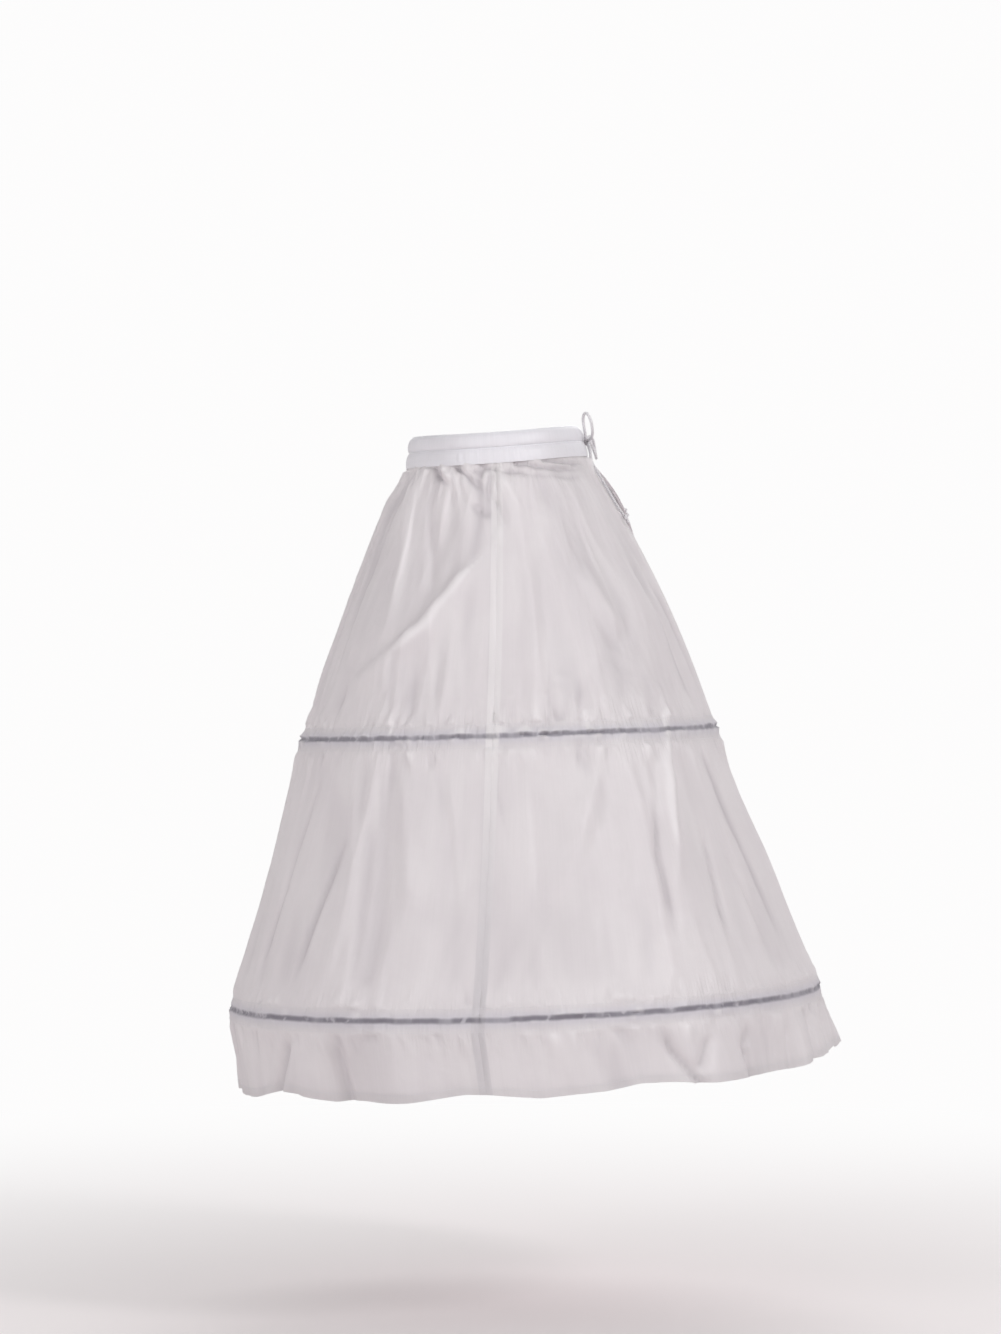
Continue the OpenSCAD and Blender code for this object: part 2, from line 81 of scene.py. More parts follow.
def smooth(share: Array) -> Array:
    """Ease from 0 to 1 over a share that may run outside that range."""
    held = np.clip(share, 0.0, 1.0)
    return held * held * (3.0 - 2.0 * held)


def hump(distance: Array, spread: float) -> Array:
    """Bell of height 1 around a distance of 0."""
    return np.exp(-np.square(distance / spread))


def wrap(angle: Array) -> Array:
    """Bring angles to the range from -180 to 180."""
    return np.mod(angle + HALF_TURN, FULL_TURN) - HALF_TURN


def left_half(angle: Array) -> tuple[Array, Array]:
    """Bring angles to the left half of the skirt, and tell which ones were on its right half."""
    turn = wrap(angle)
    right = np.abs(turn) > BACK
    return np.where(right, np.sign(turn) * HALF_TURN - turn, turn), right


def from_back(angle: Array) -> Array:
    """Degrees between an angle and the centre back."""
    return np.abs(np.mod(angle, FULL_TURN) - BACK)


def tier_share(level: Array, tier: Tier) -> Array:
    """How far down its tier a level lies, from 0 at the top to 1 at the foot."""
    return np.clip(level - tier.value, 0.0, 1.0)


def walk(path: Array, axis: int = 0) -> Array:
    """Length walked along a path of points up to each of them."""
    steps = np.linalg.norm(np.diff(path, axis=axis), axis=-1)
    start = np.zeros_like(np.take(steps, [0], axis=axis))
    return np.concatenate([start, np.cumsum(steps, axis=axis)], axis=axis)


def waves(table: tuple[tuple[float, float, float], ...], angle: Array) -> Array:
    """Sum waves around the skirt.

    Args:
        table: for each wave its count, its start in degrees and its share of the height.
        angle: angles in degrees.

    Returns:
        The summed height at each angle.
    """
    return sum(share * np.cos(np.radians(count * angle + start)) for count, start, share in table)


class Nodes:
    """Adds and links the nodes of one node tree in short calls."""

    def __init__(self, tree: bpy.types.NodeTree) -> None:
        """Take the tree that the nodes go into."""
        self.tree = tree

    def add(self, kind: str, inputs: dict | None = None, **settings: object) -> bpy.types.Node:
        """Add a node.

        Args:
            kind: the node's type name.
            inputs: values or sockets for its inputs, by name or number.
            **settings: properties of the node.

        Returns:
            The new node.
        """
        node = self.tree.nodes.new(kind)
        for key, value in settings.items():
            setattr(node, key, value)
        for key, value in (inputs or {}).items():
            self.feed(node.inputs[key], value)
        return node

    def feed(self, target: Socket, value: object) -> None:
        """Link a socket to an input, or set the input's own value."""
        if isinstance(value, Socket):
            self.tree.links.new(value, target)
        else:
            target.default_value = value

    def math(self, operation: str, *values: object) -> Socket:
        """Add a Math node and return its result."""
        return self.add("ShaderNodeMath", dict(enumerate(values)), operation=operation).outputs[0]

    def mix(self, share: object, first: object, second: object) -> Socket:
        """Add a colour Mix node and return its result."""
        node = self.add("ShaderNodeMix", data_type="RGBA")
        for target, value in zip((node.inputs[0], node.inputs[6], node.inputs[7]), (share, first, second)):
            self.feed(target, value)
        return node.outputs[2]

    def spread(self, value: object, low: float, high: float, to_low: float, to_high: float) -> Socket:
        """Add a clamped smooth Map Range node and return its result."""
        limits = {"Value": value, "From Min": low, "From Max": high, "To Min": to_low, "To Max": to_high}
        return self.add("ShaderNodeMapRange", limits, interpolation_type="SMOOTHSTEP").outputs[0]

    def parts(self, place: Socket) -> bpy.types.NodeOutputs:
        """Add a Separate XYZ node and return its three values."""
        return self.add("ShaderNodeSeparateXYZ", {0: place}).outputs

    def stretch(self, place: Socket, scale: tuple[float, float, float]) -> Socket:
        """Add a Mapping node that scales places and return its result."""
        return self.add("ShaderNodeMapping", {"Vector": place, "Scale": scale}).outputs[0]

    def noise(self, place: Socket, scale: float, detail: float, **more: float) -> Socket:
        """Add a Noise node and return its value."""
        inputs = {"Vector": place, "Scale": scale, "Detail": detail, **more}
        return self.add("ShaderNodeTexNoise", inputs).outputs[0]

    def mark(self, name: str) -> Socket:
        """Add an Attribute node for a value that is stored on the mesh and return it."""
        return self.add("ShaderNodeAttribute", attribute_name=name).outputs["Fac"]

    def apart(self, value: Socket, middle: float) -> Socket:
        """Return how far a value lies from a middle, to either side."""
        return self.math("ABSOLUTE", self.math("SUBTRACT", value, middle))

    def bump(self, strength: float, distance: float, height: Socket,
             normal: Socket | None = None) -> Socket:
        """Add a Bump node, over another normal where one is given, and return its normal."""
        inputs = {"Strength": strength, "Distance": distance, "Height": height}
        if normal is not None:
            inputs["Normal"] = normal
        return self.add("ShaderNodeBump", inputs).outputs[0]

    def blend(self, share: object, first: bpy.types.Node, second: bpy.types.Node) -> bpy.types.Node:
        """Add a Mix Shader node between the shaders of two nodes."""
        return self.add("ShaderNodeMixShader", {0: share, 1: first.outputs[0], 2: second.outputs[0]})


def new_group(name: str, inputs: dict[str, str], outputs: dict[str, str]) -> tuple:
    """Start a shader node group.

    Args:
        name: the group's name.
        inputs: socket type by name of each input.
        outputs: socket type by name of each output.

    Returns:
        The group, its Nodes helper, its input node and its output node.
    """
    group = bpy.data.node_groups.new(name, "ShaderNodeTree")
    for label, kind in inputs.items():
        group.interface.new_socket(label, in_out="INPUT", socket_type=kind)
    for label, kind in outputs.items():
        group.interface.new_socket(label, in_out="OUTPUT", socket_type=kind)
    nodes = Nodes(group)
    return group, nodes, nodes.add("NodeGroupInput"), nodes.add("NodeGroupOutput")


def weave_group() -> bpy.types.NodeTree:
    """Make the plain weave that all woven pieces share.

    Returns:
        A group with a Height for bump and a Tone that varies along the weft.
    """
    group, nodes, source, sink = new_group(
        "plain_weave", {"Place": "NodeSocketVector", "Pitch": "NodeSocketFloat", "Slub": "NodeSocketFloat"},
        {"Height": "NodeSocketFloat", "Tone": "NodeSocketFloat"})
    across, down, _ = nodes.parts(source.outputs["Place"])
    turns = nodes.math("DIVIDE", math.pi, source.outputs["Pitch"])
    warp = nodes.math("SINE", nodes.math("MULTIPLY", across, turns))
    weft = nodes.math("SINE", nodes.math("MULTIPLY", down, turns))
    over = nodes.math("MULTIPLY", warp, weft)
    slub = nodes.noise(nodes.stretch(source.outputs["Place"], (420.0, 14.0, 1.0)), 1.0, 3.0)
    streak = nodes.math("MULTIPLY", nodes.math("SUBTRACT", slub, 0.5), source.outputs["Slub"])
    nodes.feed(sink.inputs["Height"], nodes.math("ADD", nodes.math("MULTIPLY", over, 0.5), streak))
    nodes.feed(sink.inputs["Tone"], nodes.math("ADD", streak, 1.0))
    return group


def new_material(name: str) -> tuple[bpy.types.Material, Nodes, bpy.types.Node, bpy.types.Node]:
    """Start a material.

    Returns:
        The material, its Nodes helper, its Principled shader and its output node.
    """
    material = bpy.data.materials.new(name)
    material.use_nodes = True
    tree = material.node_tree
    return material, Nodes(tree), tree.nodes["Principled BSDF"], tree.nodes["Material Output"]


@dataclass(frozen=True)
class ClothFinish:
    """White woven cloth that lets some light through."""

    name: str
    colour: Colour = (0.86, 0.84, 0.85, 1.0)
    creased: Colour = (0.82, 0.795, 0.81, 1.0)
    through: Colour = (0.9, 0.87, 0.88, 1.0)
    translucency: float = 0.38
    roughness: float = 0.46
    gloss_change: tuple[float, float] = (-0.06, 0.08)
    specular: float = 0.35
    sheen: float = 0.25
    sheen_roughness: float = 0.4
    pitch: float = 0.00045
    thread: float = 0.0001
    slub: float = 0.09
    rumple: float = 0.0006
    pucker: float = 0.0022
    gather_reach: float = 0.05
    casing_reach: float = 0.01
    # Painted shade of the hoop strips, seen through the cloth and cast on it, along the hoop lines below.
    steel: Colour = (0.31, 0.29, 0.34, 1.0)
    hoop_lines: tuple[float, ...] = ()
    hoop_strengths: tuple[float, ...] = (0.84, 1.0)
    hoop_edge: tuple[float, float] = (0.0009, 0.0049)
    hoop_wander: float = 0.0042
    # Painted shade of the casing tapes seen through the cloth, on both sides of each hoop line.
    casing_shade: Colour = (0.72, 0.705, 0.79, 1.0)
    casing_shade_edge: tuple[float, float] = (0.003, 0.0135)
    # Painted highlight on the crests and painted shade in the valleys of the creases.
    crest: Colour = (0.96, 0.945, 0.955, 1.0)
    valley: Colour = (0.6, 0.575, 0.6, 1.0)
    seam_half: float = 0.0076
    seam_edge: tuple[float, float] = (0.0067, 0.0082)
    seam_strengths: tuple[float, float] = (0.75, 0.65)
    # Painted light on the seam allowances behind the cloth in the upper tier, turning to painted shade on
    # them lower down.
    seam_light: Colour = (0.96, 0.945, 0.95, 1.0)
    seam_dark: Colour = (0.72, 0.70, 0.725, 1.0)
    seam_fade: float = 0.02
    # Edges and strengths of a thin painted shadow line along one edge of each seam allowance.
    seam_shadow_edge: tuple[float, float] = (0.0003, 0.0013)
    seam_shadow_strengths: tuple[float, float] = (0.2, 0.5)

    def hoop_shade_mask(self, nodes: Nodes, place: Socket) -> Socket:
        """Where the painted shade of the hoop strips goes: the strips seen through the cloth and their
        shadow where they press against it, broken where it bunches.
        """
        down = nodes.parts(place)[1]
        bunch = nodes.noise(nodes.stretch(place, (34.0, 5.0, 1.0)), 1.0, 3.0)
        knots = nodes.noise(place, 75.0, 2.0)
        wander = nodes.math("MULTIPLY", nodes.math("SUBTRACT", bunch, 0.5), self.hoop_wander)
        mask = 0.0
        for line, strength in zip(self.hoop_lines, self.hoop_strengths):
            drop = nodes.math("SUBTRACT", down, line)
            off = nodes.math("ABSOLUTE", nodes.math("ADD", drop, wander))
            mask = nodes.math("MAXIMUM", mask, nodes.spread(off, *self.hoop_edge, strength, 0.0))
        # worn thins and breaks the painted hoop shade where the cloth bunches.
        worn = nodes.math("MULTIPLY", nodes.spread(bunch, 0.35, 0.55, 0.55, 0.92),
                          nodes.spread(knots, 0.27, 0.46, 0.35, 1.0))
        return nodes.math("MULTIPLY", mask, worn)

    def gather_height(self, nodes: Nodes, place: Socket) -> Socket:
        """Fine gathers that run out of the band and of both sides of each casing, as a height for bump."""
        down = nodes.parts(place)[1]
        crimp = nodes.noise(nodes.stretch(place, (150.0, 26.0, 1.0)), 1.0, 3.0, Distortion=0.4)
        broad = nodes.noise(place, 14.0, 2.0)
        near = nodes.spread(down, 0.0, self.gather_reach, 1.0, 0.0)
        for line in self.hoop_lines:
            beside = nodes.spread(nodes.apart(down, line), self.casing_reach, self.gather_reach, 1.0, 0.0)
            near = nodes.math("MAXIMUM", near, beside)
        near = nodes.math("MULTIPLY", near, nodes.spread(broad, 0.3, 0.6, 0.35, 1.0))
        return nodes.math("MULTIPLY", crimp, near)

    def painted_light_colour(self, nodes: Nodes, place: Socket, colour: Socket) -> Socket:
        """The cloth's colour with painted light and shade: painted shade of the casing tapes behind it, a
        painted highlight on crests and painted shade in valleys, and painted light and shade on the seam
        allowances behind it, with a thin painted shadow line along each.
        """
        down = nodes.parts(place)[1]
        # Painted shade of the casing tapes seen through the cloth.
        for line in self.hoop_lines:
            near = nodes.spread(nodes.apart(down, line), *self.casing_shade_edge, 0.5, 0.0)
            colour = nodes.mix(near, colour, self.casing_shade)
        # Painted highlight on crests and painted shade in valleys, by the stored share of crease height and
        # highlight lines.
        crease_light = nodes.mark("crease_light")
        colour = nodes.mix(nodes.spread(crease_light, 0.12, 1.0, 0.0, 0.85), colour, self.crest)
        colour = nodes.mix(nodes.spread(crease_light, -0.1, -0.9, 0.0, 0.65), colour, self.valley)
        # Painted light on the seam allowances in the upper tier, painted shade on them lower down.
        aside = nodes.mark("seam")
        inside = nodes.spread(nodes.apart(aside, 0.0), *self.seam_edge, 1.0, 0.0)
        low = nodes.spread(down, self.hoop_lines[0], self.hoop_lines[1] + self.seam_fade, 0.0, 1.0)
        tone = nodes.mix(low, self.seam_light, self.seam_dark)
        shown = nodes.math("MULTIPLY", inside, nodes.spread(low, 0.0, 1.0, *self.seam_strengths))
        colour = nodes.mix(shown, colour, tone)
        # A thin painted shadow line along one edge of each seam allowance.
        thin = nodes.spread(nodes.apart(aside, -self.seam_half), *self.seam_shadow_edge, 1.0, 0.0)
        line = nodes.math("MULTIPLY", thin, nodes.spread(low, 0.0, 1.0, *self.seam_shadow_strengths))
        return nodes.mix(line, colour, self.seam_dark)

    def material(self, weave: bpy.types.NodeTree) -> bpy.types.Material:
        """Make the cloth's material on the piece's UV map, which is in metres."""
        material, nodes, shader, sink = new_material(self.name)
        place = nodes.add("ShaderNodeTexCoord").outputs["UV"]
        woven = nodes.add("ShaderNodeGroup", node_tree=weave)
        for key, value in (("Place", place), ("Pitch", self.pitch), ("Slub", self.slub)):
            nodes.feed(woven.inputs[key], value)
        soft = nodes.noise(place, 9.0, 4.0, Distortion=0.6)
        fine = nodes.noise(place, 70.0, 5.0, Roughness=0.6)
        colour = nodes.mix(nodes.spread(soft, 0.35, 0.7, 0.0, 1.0), self.creased, self.colour)
        toned = nodes.add("ShaderNodeHueSaturation", {"Value": woven.outputs["Tone"], "Color": colour})
        shown = toned.outputs[0]
        lit_colour = self.through
        if self.hoop_lines:
            # Painted shade of the hoop strips on the cloth's colour and on the light that the cloth lets
            # through.
            mask = self.hoop_shade_mask(nodes, place)
            shown = nodes.mix(mask, self.painted_light_colour(nodes, place, shown), self.steel)
            lit_colour = nodes.mix(mask, self.through, self.steel)
        glossy, dull = (self.roughness + change for change in self.gloss_change)
        normal = nodes.bump(0.25, self.thread, woven.outputs["Height"])
        normal = nodes.bump(0.5, self.rumple, fine, normal)
        if self.hoop_lines:
            normal = nodes.bump(1.0, self.pucker, self.gather_height(nodes, place), normal)
        for key, value in (("Base Color", shown), ("Roughness", nodes.spread(fine, 0.3, 0.7, glossy, dull)),
                           ("Sheen Weight", self.sheen), ("Sheen Roughness", self.sheen_roughness),
                           ("Specular IOR Level", self.specular), ("Normal", normal)):
            nodes.feed(shader.inputs[key], value)
        lit = nodes.add("ShaderNodeBsdfTranslucent", {"Color": lit_colour, "Normal": normal})
        nodes.feed(sink.inputs["Surface"], nodes.blend(self.translucency, shader, lit).outputs[0])
        return material


@dataclass(frozen=True)
class CordFinish:
    """Braided white cord, patterned on a UV map that runs along it in metres and round it in turns."""

    name: str
    colour: Colour = (0.86, 0.85, 0.87, 1.0)
    # Painted shade between the strands of the braid.
    gap: Colour = (0.66, 0.64, 0.67, 1.0)
    strands: float = 6.0
    lay: float = 0.0042
    roughness: float = 0.72
    gap_roughness: float = 0.87
    relief: float = 0.0004
    sheen: float = 0.2

    def material(self) -> bpy.types.Material:
        """Make the braid from two crossing sets of strands."""
        material, nodes, shader, _ = new_material(self.name)
        place = nodes.parts(nodes.add("ShaderNodeTexCoord").outputs["UV"])
        along = nodes.math("MULTIPLY", place[0], math.tau / self.lay)
        around = nodes.math("MULTIPLY", place[1], math.tau * self.strands / 2.0)
        right = nodes.math("SINE", nodes.math("ADD", along, around))
        left = nodes.math("SINE", nodes.math("SUBTRACT", along, around))
        plait = nodes.math("MAXIMUM", right, left)
        # Painted shade in the gaps between the strands.
        shade = nodes.mix(nodes.spread(plait, -0.5, 0.7, 0.0, 1.0), self.gap, self.colour)
        dull = nodes.spread(plait, -0.5, 0.8, self.gap_roughness, self.roughness)
        for key, value in (("Base Color", shade), ("Roughness", dull), ("Sheen Weight", self.sheen),
                           ("Normal", nodes.bump(0.8, self.relief, plait))):
            nodes.feed(shader.inputs[key], value)
        return material


@dataclass(frozen=True)
class HardFinish:
    """Smooth strip, tube or thread with faint drawn streaks and dulled patches."""

    name: str
    colour: Colour
    worn: Colour
    metallic: float
    roughness: float
    gloss_change: tuple[float, float] = (-0.08, 0.12)
    relief: float = 0.00005

    def material(self) -> bpy.types.Material:
        """Make the finish on Object coordinates."""
        material, nodes, shader, _ = new_material(self.name)
        place = nodes.add("ShaderNodeTexCoord").outputs["Object"]
        streak = nodes.noise(nodes.stretch(place, (12.0, 12.0, 900.0)), 1.0, 3.0)
        wear = nodes.spread(nodes.noise(place, 30.0, 4.0), 0.45, 0.65, 0.0, 1.0)
        glossy, dull = (self.roughness + change for change in self.gloss_change)
        for key, value in (("Base Color", nodes.mix(wear, self.colour, self.worn)),
                           ("Roughness", nodes.spread(streak, 0.3, 0.7, glossy, dull)),
                           ("Metallic", self.metallic), ("Normal", nodes.bump(0.3, self.relief, streak))):
            nodes.feed(shader.inputs[key], value)
        return material


def new_piece(name: str, points: Array, faces: list, material: bpy.types.Material) -> bpy.types.Object:
    """Make a smooth-shaded mesh object at the origin.

    Args:
        name: the piece's name.
        points: one row of three coordinates for each point.
        faces: point numbers of each face.
        material: the piece's material.

    Returns:
        The object, linked to the scene.
    """
    mesh = bpy.data.meshes.new(name)
    mesh.from_pydata(np.asarray(points).reshape(-1, 3).tolist(), [], faces)
    mesh.materials.append(material)
    mesh.shade_smooth()
    mesh.set_sharp_from_angle(angle=math.radians(SHARP_ANGLE))
    piece = bpy.data.objects.new(name, mesh)
    bpy.context.scene.collection.objects.link(piece)
    return piece


def lay_uv(piece: bpy.types.Object, uv: Array) -> None:
    """Give a piece a UV map from one pair of values for each point."""
    mesh = piece.data
    corners = np.empty(len(mesh.loops), dtype=np.int32)
    mesh.loops.foreach_get("vertex_index", corners)
    layer = mesh.uv_layers.new(name="UVMap")
    layer.uv.foreach_set("vector", np.asarray(uv, dtype=np.float32)[corners].ravel())


def settle(piece: bpy.types.Object, slot: Slot, *nodes: str) -> bpy.types.Object:
    """Ride a finished piece on the body, hide the CAD nodes that it stands for, and report it."""
    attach(piece, "root")
    if nodes:
        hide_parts(*nodes)
    LOG.info("%s: %d faces", piece.name, len(piece.data.polygons))
    return piece


def grid_normals(grid: Array) -> Array:
    """Outward unit normals of a grid whose rows run down and whose columns run anticlockwise from above."""
    across = np.gradient(grid, axis=1)
    down = np.gradient(grid, axis=0)
    normal = np.cross(down, across)
    return normal / np.linalg.norm(normal, axis=2, keepdims=True)


def quads(number: Array) -> Array:
    """Faces between the numbered points of a grid, each going down first and then across."""
    corners = (number[:-1, :-1], number[1:, :-1], number[1:, 1:], number[:-1, 1:])
    return np.stack(corners, -1).reshape(-1, 4)


def shell(outer: Array, inner: Array) -> tuple[Array, list]:
    """Close two matching grids into one thin solid.

    Args:
        outer: grid of the face that looks outwards, rows running down and columns anticlockwise from above.
        inner: grid of the face that looks inwards.

    Returns:
        The points, outer ones first, and the faces.
    """
    rows, columns = outer.shape[:2]
    number = np.arange(rows * columns).reshape(rows, columns)
    back = number + rows * columns
    faces = [quads(number), quads(back)[:, ::-1]]
    for edge, far in ((number[0, ::-1], back[0, ::-1]), (number[-1], back[-1]),
                      (number[:, 0], back[:, 0]), (number[::-1, -1], back[::-1, -1])):
        faces.append(np.stack([edge[1:], edge[:-1], far[:-1], far[1:]], -1))
    points = np.concatenate([outer.reshape(-1, 3), inner.reshape(-1, 3)])
    return points, np.concatenate(faces).tolist()


def grid_uv(across: Array, down: Array) -> Array:
    """UV pairs of a grid from its lengths across and down."""
    return np.stack(np.meshgrid(across, down), axis=-1)


def new_sheet(name: str, outer: Array, inward: Array, uv: Array,
              material: bpy.types.Material) -> bpy.types.Object:
    """Make a thin closed sheet of cloth.

    Args:
        name: the piece's name.
        outer: grid of its outer face.
        inward: steps from that grid to its inner face.
        uv: UV pairs of the grid.
        material: the piece's material.

    Returns:
        The piece, with its UV map.
    """
    points, faces = shell(outer, outer + inward)
    piece = new_piece(name, points, faces, material)
    lay_uv(piece, np.concatenate([uv.reshape(-1, 2)] * 2))
    return piece


def refine(grid: Array) -> Array:
    """Double the rows of a grid with a smooth curve through the given ones."""
    ends = np.concatenate([2.0 * grid[:1] - grid[1:2], grid, 2.0 * grid[-1:] - grid[-2:-1]])
    between = (9.0 * (ends[1:-2] + ends[2:-1]) - ends[:-3] - ends[3:]) / 16.0
    finer = np.empty((2 * len(grid) - 1,) + grid.shape[1:])
    finer[::2] = grid
    finer[1::2] = between
    return finer


@dataclass(frozen=True)
class Ring:
    """A ring of the skirt, tilted so that its back is higher than its front."""

    setback: float
    height: float
    tilt: float
    half_width: float
    half_depth: float
    dip: float = 0.0

    def raised(self, above: float, spread: float) -> "Ring":
        """The ring moved up along its own axis and widened."""
        lean = math.radians(self.tilt)
        return Ring(self.setback - above * math.sin(lean), self.height + above * math.cos(lean), self.tilt,
                    self.half_width + spread, self.half_depth + spread, self.dip)

    def values(self) -> Array:
        """The ring as one row of numbers."""
        return np.array([self.setback, self.height, self.tilt, self.half_width, self.half_depth, self.dip])


def ring_points(rings: Array, angle: Array, out: Array | float) -> Array:
    """Points on rings.

    Args:
        rings: rows of ring values, with a last axis of six.
        angle: angles in degrees, matching the rings.
        out: how far each point stands off its ring.

    Returns:
        Points with a last axis of three.
    """
    setback, height, tilt, half_width, half_depth, dip = np.moveaxis(rings, -1, 0)
    turn = np.radians(angle)
    lean = np.radians(tilt)
    along = (half_depth + out) * np.sin(turn)
    return np.stack([(half_width + out) * np.cos(turn), setback + along * np.cos(lean),
                     height + along * np.sin(lean) - dip * np.square(np.cos(turn))], axis=-1)


@dataclass(frozen=True)
class Fold:
    """A ridge or valley of the cloth along a path of angles and levels."""

    path: tuple[tuple[float, float], ...]
    height: float
    width: float
    lower_width: float = 0.0
    fade: tuple[float, float] = (0.3, 0.3)


@dataclass
class SkirtForm:
    """The skirt's plain form: its rings and the stretches between them."""

    waist: Ring = Ring(0.0, 0.0, 4.0, 0.124, 0.1, 0.006)
    band_height: float = 0.037
    band_flare: float = 0.009
    upper: Ring = Ring(0.016, -0.341, 1.9, 0.249, 0.249)
    upper_slope: float = 0.37
    lower: Ring = Ring(0.035, -0.655, 2.2, 0.352, 0.352)
    lower_slope: float = 0.2
    hem: Ring = Ring(0.052, -0.742, 4.1, 0.359, 0.359)
    half_casing: float = 0.013
    upper_bulge: float = 0.009
    seam_lean: float = 10.0
    band_step: float = 0.001

    def __post_init__(self) -> None:
        """Stack the rings of the six levels and the lengths of cloth between them."""
        self.stack = np.array([ring.values() for ring in (
            self.waist_ring(-self.band_height / 2 - self.band_step),
            self.casing_ring(Tier.UPPER_CASING, 1.0), self.casing_ring(Tier.UPPER_CASING, -1.0),
            self.casing_ring(Tier.LOWER_CASING, 1.0), self.casing_ring(Tier.LOWER_CASING, -1.0), self.hem)])
        step = np.diff(self.stack, axis=0)
        lengths = np.hypot(step[:, HEIGHT], (step[:, WIDTH] + step[:, DEPTH]) / 2)
        self.lengths = np.concatenate([[0.0], np.cumsum(lengths)])

    def waist_ring(self, above: float, inset: float = 0.0) -> Ring:
        """The band's outer face at a height above its middle."""
        return self.waist.raised(above, self.band_flare * (0.5 - above / self.band_height) - inset)

    def casing_ring(self, tier: Tier, share: float) -> Ring:
        """A ring of a casing, from 1 at its upper stitch row to -1 at its lower one."""
        above = share * self.half_casing
        if tier is Tier.UPPER_CASING:
            return self.upper.raised(above, -self.upper_slope * above)
        return self.lower.raised(above, -self.lower_slope * above)

    def rings(self, level: Array) -> Array:
        """Ring values at levels, with a last axis of six."""
        below = np.clip(np.floor(level).astype(int), Tier.UPPER.value, Tier.FLOUNCE.value)
        share = (level - below)[..., None]
        return self.stack[below] * (1.0 - share) + self.stack[below + 1] * share

    def length(self, level: Array) -> Array:
        """Length of cloth down to each level."""
        return np.interp(level, np.arange(HEM + 1.0), self.lengths)

    def open_angles(self, gap: float, count: int) -> Array:
        """Angles round the waist, from the right side of a gap at the centre back to its left side."""
        half_gap = math.degrees(math.asin(gap / 2.0 / self.waist.half_width))
        return np.linspace(BACK + half_gap, BACK + FULL_TURN - half_gap, count)

    def lean(self, angle: Array, level: Array) -> Array:
        """A column's own angle, leaning towards the front with the seams as it goes down."""
        drop = np.clip(self.rings(level)[..., HEIGHT] / self.hem.height, 0.0, None)
        return angle - self.seam_lean * drop * np.cos(np.radians(angle))


